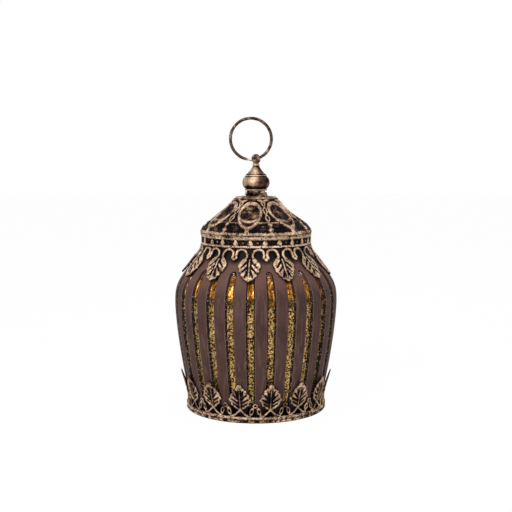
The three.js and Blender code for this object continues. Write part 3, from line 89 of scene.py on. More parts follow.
# Jar, with the flutes' phase and width in degrees and the spacing of its mesh's rings
JAR_BOTTOM, JAR_TOP = span_of("glass_jar")
BELLY_RADIUS = radius_of("glass_jar") - 0.05
BELLY_HEIGHT = 78
FOOT_RADIUS = 48.2
FOOT_ROUND = 2
NECK_RADIUS = 38.2
NECK_HEIGHT = 120
CURVE_POWER = 1.5
GLASS_WALL = 3.4
GLASS_FLOOR = 4.8
FLUTE_COUNT = 25
FLUTE_PHASE = -3.8
FLUTE_HALF_WIDTH = 3.15
FLUTE_WALL = 1.2
FLUTE_DEPTH = 2.3
FLUTE_TOP = 105.5
RIB_CROWN = 0.45
CROWN_FADE = 12
FOOT_ARC = 75
FLUTE_COLUMNS = 26
JAR_ROW = 1.25
INNER_ROW = 3
DEEP_INSIDE = 4

# Base collar: the rail's top, the leaves' roots, their length, and how far their tips stand off the glass
BASE_COUNT = 15
BASE_PHASE = -12.5
RAIL_HEIGHT = 4.6
STEM_HEIGHT = 9.5
BASE_LEAF_LENGTH = 19.8
BASE_TIP_STAND = 1.3
CLEARANCE = 0.3

# Top collar
TOP_COUNT = 12
TOP_PHASE = -5.7
TOP_STEM_HEIGHT = 113.4
TOP_STEM_RADIUS = 43.1
TOP_TIP_RADIUS = 54.1
TOP_ARCH_RADIUS = 39.7
ARCH_CROWN = top_of("top_leaf_collar")
STRAND_HALF_WIDTH = 1.05
LEAN_SEED = 5

# Lid
LID_BOTTOM = top_of("lid_hoop")
LID_TOP = top_of("lid_shell")
LID_RIM_RADIUS = 40.4
LID_TOP_RADIUS = 15.6
LID_WALL = 1.2
LID_CURVE = (
    (LID_RIM_RADIUS, LID_BOTTOM), (39.5, LID_BOTTOM + 7), (22, LID_TOP - 10.6), (LID_TOP_RADIUS, LID_TOP),
)
MEDALLION_COUNT = 7
MEDALLION_PHASE = -9.5
MEDALLION_HALF_WIDTH = 8.8
MEDALLION_LOW = 133.0
MEDALLION_HIGH = 152.1
MEDALLION_RIM = 2.2
BRAID_LOW, BRAID_HIGH = 138.2, 151.2
BRAID_WAVES = 2.5
BRAID_CAP = (151.6, 152.8)
BAR_HEIGHT = 137.8
UNDER_BAR_HEIGHT = 135.4
BEAD_HEIGHTS = (136.4, 133.2)
LID_COLUMNS = 90
STUD_BORE = 2.2

# Pressed sheets: their grid spacing, how near an edge in cells a point is moved onto it, how far past it one
# is kept, and how bright the back is
LEAF_CELL = 0.38
GALLERY_CELL = 0.31
SNAP = 0.62
KEEP = 0.12
BACK_TONE = 0.3


# Meshes


def around(turn, radius, height):
    """Points at turns in degrees from the front towards +X."""
    angle = np.radians(turn)
    turn, radius, height = np.broadcast_arrays(angle, radius, height)
    return np.stack([radius * np.sin(turn), -radius * np.cos(turn), height], -1)


def link(data, name):
    made = bpy.data.objects.new(name, data)
    bpy.context.scene.collection.objects.link(made)
    return made


def piece(name, shape, body, look, replaced=(), sharp=42, **attributes):
    """A mesh from a shape's points in millimetres and its faces. A look is a slot and its material, and each
    attribute holds one value for each point."""
    points, faces = shape
    slot, surface = look
    data = bpy.data.meshes.new(name)
    data.from_pydata((np.asarray(points, float).reshape(-1, 3) * MM).tolist(), [], faces)
    for key, values in attributes.items():
        layer = data.attributes.new(key, "FLOAT", "POINT")
        layer.data.foreach_set("value", np.asarray(values, np.float32).ravel())
    data.validate()
    data.shade_smooth()
    data.set_sharp_from_angle(angle=math.radians(sharp))
    made = link(data, name)
    data.materials.append(surface)
    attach(made, body)
    if replaced:
        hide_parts(*replaced)


def skin(grid, ends=None):
    """Points and faces over stacked rings that run upwards on the outside. Both ends close in a fan to the
    points given as ends, or else the last ring meets the first."""
    rows, columns = grid.shape[:2]
    index = np.arange(rows * columns).reshape(rows, columns)
    points = grid.reshape(-1, 3)
    if ends is None:
        index = np.vstack([index, index[:1]])
    ahead = np.roll(index, -1, 1)
    faces = np.stack([index[:-1], ahead[:-1], ahead[1:], index[1:]], -1).reshape(-1, 4).tolist()
    if ends is not None:
        low, high = len(points), len(points) + 1
        points = np.vstack([points, ends])
        faces += [[low, following, here] for here, following in zip(index[0].tolist(), ahead[0].tolist())]
        faces += [[high, here, following] for here, following in zip(index[-1].tolist(), ahead[-1].tolist())]
    return points, faces


def smooth_curve(points, steps=8):
    """Points along a curve that passes through the given ones."""
    points = np.asarray(points, float)
    padded = np.vstack([2 * points[0] - points[1], points, 2 * points[-1] - points[-2]])
    share = np.linspace(0, 1, steps, endpoint=False)[:, None]
    spans = []
    for i in range(1, len(padded) - 2):
        before, start, end, after = padded[i - 1 : i + 3]
        spans.append(
            start + share * (end - before) / 2 + share**2 * (
                before - 2.5 * start + 2 * end - after / 2
            ) + share**3 * (1.5 * (start - end) + (after - before) / 2)
        )
    return np.vstack([*spans, points[-1:]])


def rings(turns, outline):
    """A ring of points for each [radius, height] pair of an outline."""
    outline = np.asarray(outline, float)
    return around(turns, outline[:, :1], outline[:, 1:])


def lathe(outline, sides, closed=False):
    """A turned solid. The outline holds [radius, height] pairs, listed upwards on the outside, and it starts
    and ends on the axis or, if closed, meets itself."""
    turns = np.arange(sides) * 360 / sides
    if closed:
        return skin(rings(turns, outline))
    ends = [(0, 0, outline[0][1]), (0, 0, outline[-1][1])]
    return skin(rings(turns, outline[1:-1]), ends)


def tube(route, radius, sides=12):
    """A round tube along a route, with its ends closed by fans."""
    route = np.asarray(route, float)
    along = np.gradient(route, axis=0)
    along /= np.linalg.norm(along, axis=1, keepdims=True)
    side = np.cross(along[0], UP if abs(along[0][2]) < 0.9 else [1.0, 0, 0])
    angles = np.linspace(0, 2 * np.pi, sides, endpoint=False)[:, None]
    stacked = []
    for spot, direction, reach in zip(route, along, np.broadcast_to(radius, len(route))):
        side = side - direction * (side @ direction)
        side /= np.linalg.norm(side)
        other = np.cross(direction, side)
        stacked.append(spot + reach * (np.cos(angles) * side + np.sin(angles) * other))
    return skin(np.array(stacked), [route[0], route[-1]])


def waves(points, size, seed, count=14):
    """A smooth random field, about -1 to 1, whose swells are about size millimetres across."""
    draw = np.random.default_rng(seed)
    direction = draw.normal(size=(count, 3))
    direction *= 2 * np.pi / size * draw.uniform(0.6, 1.5, (count, 1))
    direction /= np.linalg.norm(draw.normal(size=(count, 3)), axis=1, keepdims=True)
    phase = draw.uniform(0, 2 * np.pi, count)
    return np.sin(points @ direction.T + phase).sum(-1) / math.sqrt(count)


def shifted(shape, x, y):
    points, faces = shape
    return points + [x, y, 0], faces


def joined(*shapes):
    """Several shapes as one mesh."""
    points, faces = [], []
    for some, theirs in shapes:
        start = sum(map(len, points))
        points.append(some)
        faces += [[corner + start for corner in face] for face in theirs]
    return np.vstack(points), faces


def circle(radius, centre=(0, 0), count=96, low=0, high=360):
    """Points on a circle between two angles, anticlockwise from +X."""
    angles = np.radians(np.linspace(low, high, count, endpoint=high - low < 360))
    return np.stack([centre[0] + radius * np.cos(angles), centre[1] + radius * np.sin(angles)], 1)


def bar(length, width, centre=(0, 0), turn=0):
    """The corners of a bar along X, turned by some degrees."""
    angle = math.radians(turn)
    along = np.array([math.cos(angle), math.sin(angle)])
    across = np.array([-math.sin(angle), math.cos(angle)])
    corners = ((-1, -1), (1, -1), (1, 1), (-1, 1))
    return np.array([centre + along * i * length / 2 + across * j * width / 2 for i, j in corners])


def plate(outlines, low, high, edge=0.2):
    """A flat piece between two heights, eased along its lower edges. The first outline is its outside, the
    others are holes, and all run anticlockwise."""
    points, faces, caps, start = [], [], [], 0
    for number, outline in enumerate(outlines):
        outline = np.asarray(outline, float)[:: -1 if number else 1]
        ahead = np.roll(outline, -1, 0) - outline
        ahead /= np.linalg.norm(ahead, axis=1, keepdims=True)
        mitre = ahead + np.roll(ahead, 1, 0)
        mitre /= (mitre**2).sum(1, keepdims=True) / 2
        eased = outline - edge * np.stack([mitre[:, 1], -mitre[:, 0]], 1)
        for ring, height in ((eased, low), (outline, low + edge), (outline, high)):
            points.append(np.column_stack([ring, np.full(len(ring), height)]))
        index = start + np.arange(3 * len(outline)).reshape(3, -1)
        following = np.roll(index, -1, 1)
        faces += np.stack([index[:-1], following[:-1], following[1:], index[1:]], -1).reshape(-1, 4).tolist()
        caps.append((eased, index[0], index[2]))
        start += 3 * len(outline)
    under, over = (np.concatenate([cap[i] for cap in caps]).tolist() for i in (1, 2))
    flat = np.concatenate([cap[0] for cap in caps])
    for a, b, c in tessellate_polygon([[Vector((x, y, 0)) for x, y in cap[0]] for cap in caps]):
        (ux, uy), (vx, vy) = flat[b] - flat[a], flat[c] - flat[a]
        if ux * vy < uy * vx:
            b, c = c, b
        faces += [[over[a], over[b], over[c]], [under[a], under[c], under[b]]]
    return np.vstack(points), faces


# Drawing on a sheet: distances are negative inside a shape


def smoothstep(value):
    value = np.clip(value, 0, 1)
    return value * value * (3 - 2 * value)


def swell(distance, width):
    """A rounded shoulder: 0 at a shape's edge, 1 from that width inwards."""
    share = np.clip(-distance / width, 0, 1)
    return np.sqrt(np.clip(1 - (1 - share) ** 2, 0, 1))


def capsule(x, y, start, end, start_radius, end_radius=None):
    end_radius = start_radius if end_radius is None else end_radius
    span = np.subtract(end, start)
    share = np.clip(((x - start[0]) * span[0] + (y - start[1]) * span[1]) / (span @ span), 0, 1)
    reach = start_radius + (end_radius - start_radius) * share
    return np.hypot(x - start[0] - share * span[0], y - start[1] - share * span[1]) - reach


def along_path(x, y, points, radius):
    """Distance to a strand of one width along a list of points."""
    spans = [capsule(x, y, start, end, 0.0) for start, end in zip(points, points[1:])]
    return np.minimum.reduce(spans) - radius


def polygon(x, y, points):
    edge = np.full(np.shape(x), np.inf)
    inside = np.zeros(np.shape(x), bool)
    for start, end in zip(points, np.roll(points, -1, 0)):
        edge = np.minimum(edge, capsule(x, y, start, end, 0.0))
        crosses = (start[1] > y) != (end[1] > y)
        rise = end[1] - start[1] if end[1] != start[1] else 1e-9
        inside ^= crosses & (x < start[0] + (y - start[1]) * (end[0] - start[0]) / rise)
    return np.where(inside, -edge, edge)


def oval(x, y, centre, half_length, half_width, lean):
    """An ellipse whose long axis leans by some degrees from upright."""
    angle = math.radians(lean)
    across = (x - centre[0]) * math.cos(angle) - (y - centre[1]) * math.sin(angle)
    along = (x - centre[0]) * math.sin(angle) + (y - centre[1]) * math.cos(angle)
    return (np.hypot(across / half_width, along / half_length) - 1) * half_width


def upright(y):
    return y


def unbent(x, y, leaf):
    return 0 * x


def pierced_sheet(count, phase, rows, draw, inner_radius, height_at=upright, stand=unbent, cell=LEAF_CELL):
    """A pressed and pierced sheet round the axis, and its tone. draw gives the distance to its outline, its
    thickness and its tone at a place x across a leaf and y up it. Edge points are moved onto the outline."""
    pitch = 360 / count
    mean_radius = float(np.mean(inner_radius(rows)))
    columns = 2 * round(math.radians(pitch) * mean_radius / cell / 2)
    turn, y = np.meshgrid(np.linspace(-pitch / 2, pitch / 2, columns + 1), rows)
    x = np.radians(turn) * inner_radius(y)
    step = 0.02
    distance = draw(x, y)[0]
    slope_x = (draw(x + step, y)[0] - draw(x - step, y)[0]) / (2 * step)
    slope_y = (draw(x, y + step)[0] - draw(x, y - step)[0]) / (2 * step)
    steep = np.maximum(np.hypot(slope_x, slope_y), 0.5)
    near = np.abs(distance) < SNAP * cell
    move = np.where(near, distance / steep, 0)
    x = x - move * slope_x / steep
    y = y - move * slope_y / steep
    x[:, 0] = -math.radians(pitch / 2) * inner_radius(y[:, 0])
    x[:, -1] = math.radians(pitch / 2) * inner_radius(y[:, -1])
    y[:, -1] = y[:, 0]
    distance, thickness, bright = draw(x, y)
    kept = distance < KEEP * cell
    turn = np.degrees(x / inner_radius(y))

    total = count * columns
    front, back, tone = [], [], []
    step_up = 0.05
    rise_r = inner_radius(y + step_up) - inner_radius(y)
    rise_z = height_at(y + step_up) - height_at(y)
    length = np.hypot(rise_r, rise_z)
    out_r, out_z = rise_z / length, -rise_r / length
    for leaf in range(count):
        base = stand(x, y, leaf)
        here = phase + leaf * pitch + turn
        for raised, store in ((thickness, front), (0 * thickness, back)):
            reach = base + raised
            spots = around(here, inner_radius(y) + out_r * reach, height_at(y) + out_z * reach)
            store.append(spots[:, :-1])
        tone.append(bright[:, :-1])
    front, back, tone = (np.concatenate(stack, 1) for stack in (front, back, tone))
    kept = np.tile(kept[:, :-1], (1, count))

    index = np.arange(len(rows) * total).reshape(len(rows), total)
    faces = []
    for row in range(len(rows) - 1):
        for column in range(total):
            following = (column + 1) % total
            corners = ((row, column), (row, following), (row + 1, following), (row + 1, column))
            held = [int(index[c]) for c in corners if kept[c]]
            if len(held) > 2:
                faces.append(held)
    edges = {}
    for face in faces:
        for start, end in zip(face, face[1:] + face[:1]):
            edges[start, end] = True
    size = index.size
    walls = [(end, start, start + size, end + size) for start, end in edges if (end, start) not in edges]
    faces += [[corner + size for corner in reversed(face)] for face in faces] + walls
    used = sorted({corner for face in faces for corner in face})
    order = {old: new for new, old in enumerate(used)}
    faces = [[order[corner] for corner in face] for face in faces]
    points = np.vstack([front.reshape(-1, 3), back.reshape(-1, 3)])[used]
    tones = np.concatenate([tone.ravel(), tone.ravel() * BACK_TONE])[used]
    return (points, faces), tones


# Materials


def colour(code):
    """An sRGB hex colour as linear red, green, blue and alpha."""
    parts = [int(code[i : i + 2], 16) / 255 for i in (1, 3, 5)]
    return [c / 12.92 if c <= 0.04045 else ((c + 0.055) / 1.055) ** 2.4 for c in parts] + [1.0]


def add(tree, kind, inputs, out=0, **settings):
    """Adds a node with its settings, gives each input a value, hex colour or link, and returns an output."""
    made = tree.nodes.new("ShaderNode" + kind)
    for key, value in settings.items():
        setattr(made, key, value)
    for key, value in inputs.items():
        if isinstance(value, bpy.types.NodeSocket):
            tree.links.new(value, made.inputs[key])
        else:
            made.inputs[key].default_value = colour(value) if isinstance(value, str) else value
    ends = [end for end in made.outputs if end.enabled]
    return made.outputs[out] if isinstance(out, str) else ends[out] if ends else None


def material(name, **settings):
    """A material with its shader set, and its node tree."""
    made = bpy.data.materials.new(name)
    made.use_nodes = True
    tree = made.node_tree
    shader = tree.nodes["Principled BSDF"]
    for key, value in settings.items():
        shader.inputs[key.replace("_", " ").title().replace("Ior", "IOR")].default_value = value
    return made, tree, shader


def grain(tree, size, stretch=(1, 1, 1), detail=3.0, roughness=0.5, seed=0.0):
    """A noise whose lumps are about size millimetres across, stretched along the axes."""
    place = add(tree, "TexCoord", {}, "Object")
    share = [1 / part for part in stretch]
    spot = add(tree, "Mapping", {"Vector": place, "Scale": share, "Location": (seed, 0, 0)})
    scale = 1 / (size * MM)
    return add(tree, "TexNoise", {"Vector": spot, "Scale": scale, "Detail": detail, "Roughness": roughness})


def coats(tree, tone, *layers):
    """Colours laid over each other, each where its level passes from one value to another."""
    for level, low, high, over, *most in layers:
        reach = {"Value": level, "From Min": low, "From Max": high, "To Max": most[0] if most else 1.0}
        share = add(tree, "MapRange", reach, interpolation_type="SMOOTHSTEP")
        tone = add(tree, "Mix", {"Factor": share, "A": tone, "B": over}, data_type="RGBA")
    return tone


def finish(tree, shader, height, depth, **sources):
    """Links what varies to the shader, with a fine relief whose depth is in millimetres."""
    for key, source in sources.items():
        tree.links.new(source, shader.inputs[key.replace("_", " ").title()])
    relief = add(tree, "Bump", {"Height": height, "Distance": depth * MM})
    tree.links.new(relief, shader.inputs["Normal"])


# Each of these returns a look: a slot and its material


def antique_bronze(name, mottle):
    """Stamped or turned bronze with a near-black patina, rubbed through to pale metal on all that stands
    proud. The eye sees cream ridges, brown flanks with dark pits, and blue-black ground between. More mottle
    gives more pits and a rougher wear."""
    # The relief attribute mostly measures how far a place stands proud; on the base rim's bottom edge, the
    # finial's bulb and the lid's dishes it also holds painted shade and highlight.
    made, tree, shader = material(name, specular_ior_level=0.02)
    relief = add(tree, "Attribute", {}, "Fac", attribute_name="relief")
    clouds = grain(tree, 8, detail=2)
    smears = grain(tree, 2.4, detail=4, roughness=0.6, seed=3)
    specks = grain(tree, 0.8, detail=2, seed=7)
    pits = grain(tree, 1.7, detail=3, roughness=0.55, seed=12)
    worn = add(tree, "Math", {0: relief, 1: (1.7 + 2.1 * mottle) / 2}, operation="SUBTRACT")
    for noise, share in ((clouds, 1.7), (smears, 1.3 * mottle), (specks, 0.8 * mottle)):
        worn = add(tree, "Math", {0: noise, 1: share, 2: worn}, operation="MULTIPLY_ADD")
    tone = coats(
        tree, "#0a0910", (specks, 0.6, 0.72, "#2c2c3a", 0.5), (worn, 0.12, 0.45, "#5b4033"),
        (worn, 0.44, 0.82, "#a1866c"), (worn, 0.84, 1.25, "#d9bca2"),
        (pits, 0.43, 0.37, "#1f1311", 0.92 * mottle),
    )
    ridge = {"Value": worn, "From Min": 0.15, "From Max": 0.7, "To Min": 0.05, "To Max": 0.42}
    gloss = {"Value": worn, "From Min": 0.15, "From Max": 0.9}
    gloss |= {"To Min": 0.65, "To Max": 0.64 - 0.22 * mottle}
    finish(
        tree, shader, add(tree, "Math", {0: smears, 1: specks}, operation="ADD"), 0.14 * mottle,
        base_color=tone, metallic=add(tree, "MapRange", ridge), roughness=add(tree, "MapRange", gloss),
    )
    return "antique_bronze", made


def ring_wire():
    """Drawn wire with a mottled patina. The eye sees brown, cream where it is rubbed, and black spots."""
    made, tree, shader = material("ring_wire", specular_ior_level=0.2)
    blotches = grain(tree, 3.6, detail=4, roughness=0.55)
    specks = grain(tree, 0.8, detail=2, seed=5)
    relief = add(tree, "Attribute", {}, "Fac", attribute_name="relief")
    worn = add(tree, "Math", {0: specks, 1: 0.5, 2: blotches}, operation="MULTIPLY_ADD")
    worn = add(tree, "Math", {0: relief, 1: 0.3, 2: worn}, operation="MULTIPLY_ADD")
    tone = coats(tree, "#1b1312", (worn, 0.62, 0.8, "#5d463b"), (worn, 0.82, 1.05, "#cdb096"))
    ridge = {"Value": worn, "From Min": 0.6, "From Max": 0.85, "To Min": 0.2, "To Max": 0.85}
    gloss = {"Value": worn, "From Min": 0.6, "From Max": 0.95, "To Min": 0.55, "To Max": 0.38}
    finish(
        tree, shader, worn, 0.12, base_color=tone, metallic=add(tree, "MapRange", ridge),
        roughness=add(tree, "MapRange", gloss),
    )
    return "ring_wire", made


def fluted_glass():
    """Glass with a matte brown coat sprayed on its ribs, painted lighter on the shoulder as light from above,
    with a painted highlight along the ribs' edges. Its bare flutes show the mottled mirror inside: pale olive
    gold with dark specks below, and warm gold above, whose bright streaks and the dark band beneath it are a
    painted reflection of the light overhead, with painted glints at the flute tips. The flutes' walls are
    painted near black as shade, and the glass is painted nearly black as shade behind the top collar's arches
    and behind the base collar. Heights are in metres. The mirror's fine specks are drawn coarser than real
    ones, so that they show."""
    made, tree, shader = material("fluted_glass", specular_ior_level=0.12)
    inside = add(tree, "Attribute", {}, "Fac", attribute_name="flute")
    height = add(tree, "SeparateXYZ", {0: add(tree, "TexCoord", {}, "Object")}, "Z")
    clouds = grain(tree, 16, detail=3)
    patches = grain(tree, 5, detail=4, roughness=0.6, seed=2)
    specks = grain(tree, 1.3, detail=2, roughness=0.55, seed=4)
    fine = grain(tree, 0.6, detail=2, seed=6)
    streaks = grain(tree, 1.6, stretch=(1, 1, 8), detail=3, roughness=0.6, seed=8)
    wipes = grain(tree, 2.2, stretch=(1, 1, 14), detail=2, seed=10)

    # The coat is painted lighter on the shoulder, from about 88 mm up, as light falling from above.
    coat = coats(
        tree, "#3f2b27", (clouds, 0.35, 0.65, "#4b352f"), (wipes, 0.5, 0.68, "#5b4440", 0.7),
        (fine, 0.5, 0.75, "#6b5350", 0.3), (height, 0.088, 0.1, "#6a4d45", 0.6),
    )
    level = add(tree, "Math", {0: patches, 1: 0.02, 2: height}, operation="MULTIPLY_ADD")
    olive = coats(
        tree, "#9b7536", (patches, 0.45, 0.62, "#cda365"), (fine, 0.53, 0.64, "#f0d9a8", 0.75),
        (specks, 0.53, 0.45, "#281906"), (streaks, 0.44, 0.34, "#35260f", 0.7),
    )
    # The gold's bright vertical streaks are a painted reflection of the light overhead; its amber hue is the
    # mirror's own.
    gold = coats(
        tree, "#6e4210", (streaks, 0.42, 0.54, "#a86f22"), (streaks, 0.55, 0.68, "#f2c474"),
        (specks, 0.48, 0.41, "#301b06", 0.88),
    )
    # Whitish painted glints near the flute tips.
    tip_glint_share = add(tree, "MapRange", {"Value": height, "From Min": 0.098, "From Max": 0.103, "To Max": 0.1})
    painted_tip_glints = add(tree, "Math", {0: fine, 1: tip_glint_share}, operation="ADD")
    # The dark band at the foot of the gold is painted as the lower edge of that reflection. Towards the flute
    # tips the mirror turns brown, then black.
    mirror = coats(
        tree, olive, (level, 0.0905, 0.094, "#30240a", 0.85), (level, 0.0945, 0.099, gold),
        (level, 0.107, 0.1125, "#5a3213"), (level, 0.1125, 0.1145, "#15100e"),
        (painted_tip_glints, 0.7, 0.75, "#e6e2e6"),
    )
    # The flutes' walls are painted near black as their shade, turning brown near the flute tops; the pale
    # flecks are the mirror's own.
    flecks = add(tree, "Math", {0: specks, 1: fine}, operation="MULTIPLY")
    wall = coats(tree, "#120c09", (flecks, 0.3, 0.38, "#a2845a", 0.9), (level, 0.096, 0.106, "#33201a"))
    edge = add(tree, "Math", {0: specks, 1: 0.6, 2: inside}, operation="MULTIPLY_ADD")
    # The pale line along the ribs' edges is a painted highlight. The glass is painted nearly black as shade
    # behind the top collar's arches and behind the base collar near the foot.
    tone = coats(
        tree, coat, (edge, -0.35, 0.1, "#755956", 0.45), (edge, 0.25, 0.45, wall),
        (edge, 1.2, 1.45, mirror), (height, 0.1085, 0.1135, "#17100f"), (height, 0.0165, 0.0095, "#0d0807"),
    )
    bare = add(tree, "MapRange", {"Value": edge, "From Min": 1.2, "From Max": 1.5, "To Max": 0.75})
    gloss = {"Value": edge, "From Min": 0.2, "From Max": 1.4, "To Min": 0.62, "To Max": 0.3}
    finish(
        tree, shader, add(tree, "Math", {0: specks, 1: 0.5, 2: fine}, operation="MULTIPLY_ADD"), 0.06,
        base_color=tone, metallic=bare, roughness=add(tree, "MapRange", gloss),
    )
    return "fluted_glass", made


def plain_metal(name, dark, light, roughness):
    """Rolled or plated metal. Faint rubbing marks, drawn coarser than real ones, break up its reflections."""
    made, tree, shader = material(name, metallic=1.0)
    marks = grain(tree, 1.2, stretch=(6, 1, 1), detail=4)
    stains = grain(tree, 6, detail=3, seed=2)
    gloss = {"Value": marks, "From Min": 0.2, "From Max": 0.8}
    gloss |= {"To Min": roughness - 0.08, "To Max": roughness + 0.12}
    finish(
        tree, shader, marks, 0.02, base_color=coats(tree, dark, (stains, 0.3, 0.7, light)),
        roughness=add(tree, "MapRange", gloss),
    )
    return name, made


def moulded(name, dark, light, roughness, size=0.6, depth=0.03, **settings):
    """Moulded plastic, rubber or resin. Its soft sheen is broken up by the mould's grain, drawn coarser than
    a real one."""
    made, tree, shader = material(name, **settings)
    skin_grain = grain(tree, size, detail=3)
    haze = grain(tree, 12, detail=2, seed=4)
    gloss = {"Value": skin_grain, "From Min": 0.25, "From Max": 0.75}
    gloss |= {"To Min": roughness - 0.06, "To Max": roughness + 0.08}
    finish(
        tree, shader, skin_grain, depth, base_color=coats(tree, dark, (haze, 0.3, 0.7, light)),
        roughness=add(tree, "MapRange", gloss),
    )
    return name, made


def clear_glass():
    """Thin blown soda glass, clear, with faintly uneven reflections."""
    made, tree, shader = material("clear_glass", transmission_weight=1.0, roughness=0.02, metallic=0.0)
    finish(tree, shader, grain(tree, 9, detail=1), 0.05)
    return "clear_glass", made


BRONZE = antique_bronze("stamped_bronze", 1.0)
TURNED = antique_bronze("turned_bronze", 0.45)
WIRE = ring_wire()
JAR_GLASS = fluted_glass()
ZINC = plain_metal("zinc_steel", "#9fa09c", "#c4c5c2", 0.38)
CELL_STEEL = plain_metal("cell_steel", "#b9bab8", "#dcdddb", 0.24)
BRASS = plain_metal("brass", "#a8843f", "#d2ae66", 0.3)
BLACK = moulded("black_plastic", "#151516", "#1f1f21", 0.46)
SLIDER = moulded("slider_plastic", "#c9c8c2", "#dcdbd6", 0.4)
SILICONE = moulded("silicone", "#cfcdc4", "#e0ded6", 0.55, size=1.5)
BOARD = moulded("circuit_board", "#174a30", "#236340", 0.35, size=0.9)
CHIP = moulded("chip_resin", "#141414", "#1d1d1d", 0.6)
CLEAR = clear_glass()
PHOSPHOR = moulded("led_phosphor", "#d8a02c", "#f0c25a", 0.5, size=0.8, depth=0.1)
RED = moulded("red_insulation", "#8e1713", "#ae211c", 0.42)
DARK_INSULATION = moulded("black_insulation", "#121213", "#1c1c1e", 0.42)


# The glass jar


def jar_radius(height):
    """Radius of the glass over its ribs."""
    height = np.asarray(height, float)
    down = np.clip(BELLY_HEIGHT - height, 0, None) / (BELLY_HEIGHT - JAR_BOTTOM - FOOT_ROUND)
    up = np.clip((height - BELLY_HEIGHT) / (NECK_HEIGHT - BELLY_HEIGHT), 0, 1)
    lower = BELLY_RADIUS - (BELLY_RADIUS - FOOT_RADIUS) * down**CURVE_POWER
    upper = NECK_RADIUS + (BELLY_RADIUS - NECK_RADIUS) * (1 + np.cos(np.pi * up**CURVE_POWER)) / 2
    return np.where(height <= BELLY_HEIGHT, lower, upper)


def glass_jar():
    pitch = 360 / FLUTE_COUNT
    columns = FLUTE_COUNT * FLUTE_COLUMNS
    turns = np.arange(columns) * 360 / columns
    off = np.abs((turns - FLUTE_PHASE + pitch / 2) % pitch - pitch / 2)

    side_foot = JAR_BOTTOM + FOOT_ROUND
    arc = np.radians(np.linspace(0, FOOT_ARC, 5))[:, None]
    foot_radius = FOOT_RADIUS - FOOT_ROUND * (1 - np.sin(arc))
    foot_height = side_foot - FOOT_ROUND * np.cos(arc)
    heights = np.arange(side_foot, NECK_HEIGHT, JAR_ROW)[:, None]
    lip_height = np.array([[NECK_HEIGHT], [JAR_TOP - 1.2], [JAR_TOP - 0.4], [JAR_TOP]])
    lip_radius = NECK_RADIUS - np.array([[0], [0], [0.25], [0.8]])
    radius = np.vstack([foot_radius, jar_radius(heights), lip_radius])
    height = np.vstack([foot_height, heights, lip_height])

    half = math.radians(FLUTE_HALF_WIDTH) * radius
    past = np.clip(height - (FLUTE_TOP - half), 0, None)
    inside = half - np.hypot(np.radians(off) * radius, past)
    across = (pitch / 2 - off) / (pitch / 2 - FLUTE_HALF_WIDTH)
    crown = RIB_CROWN * np.clip(across, 0, 1) ** 2 * smoothstep((FLUTE_TOP - height) / CROWN_FADE)
    sunk = FLUTE_DEPTH * smoothstep(inside / FLUTE_WALL) + crown
    outer = around(turns, radius - sunk, height)

    floor = JAR_BOTTOM + GLASS_FLOOR
    inner_height = np.arange(JAR_TOP - 0.4, floor + GLASS_WALL, -INNER_ROW)
    inner_height = np.concatenate([inner_height, [floor + 1.2, floor]])
    inner_radius = jar_radius(inner_height) - GLASS_WALL
    inner_radius[-2:] -= [1.0, 3.2]
    inner_radius[0] = NECK_RADIUS - GLASS_WALL + 0.3
    inner = rings(turns, np.stack([inner_radius, inner_height], 1))

    shape = skin(np.vstack([outer, inner]), [(0, 0, JAR_BOTTOM), (0, 0, floor)])
    tone = np.concatenate([inside.ravel(), np.full(inner[..., 0].size + 2, DEEP_INSIDE)])
    piece("glass_jar_fluted", shape, "jar", JAR_GLASS, ["glass_jar"], flute=tone)


# The pressed collars


def base_radius(height):
    """Inner face of the base collar."""
    share = np.clip((height - STEM_HEIGHT) / BASE_LEAF_LENGTH, 0, None)
    return jar_radius(np.maximum(height, STEM_HEIGHT)) + CLEARANCE + BASE_TIP_STAND * share**2


# The right half of a base leaf, up from its root: its outline, its lobes with their radii, and the slots
# between its veins with their widths. Its leg is measured from the floor.
BASE_LEAF = [
    (0, -0.4), (3.2, 0.7), (5.9, 3.3), (7.7, 7.4), (6.5, 10.9), (4.7, 14.0), (2.5, 16.0), (0, 17.0),
]
BASE_LOBES = [
    (2.9, 1.5, 0.9), (5.3, 3.9, 1.25), (6.9, 7.4, 1.25), (5.7, 10.6, 1.3), (3.8, 13.7, 1.35),
    (2.4, 15.3, 1.1), (0, 16.9, 2.15),
]
BASE_SLOTS = [
    ((1.0, 2.3), (4.6, 4.4), 0.75), ((1.0, 4.8), (5.9, 7.8), 0.95), ((1.0, 7.5), (4.7, 11.0), 1.0),
    ((1.3, 10.3), (2.6, 13.9), 1.05),
]
BASE_LEG = [(0, 9.3), (1.9, 7.5), (3.7, 5.8), (6.2, 4.7)]


def mirrored(half):
    """A whole outline from its right half, listed from the foot to the tip."""
    return half + [(-x, y) for x, y in half[-2:0:-1]]


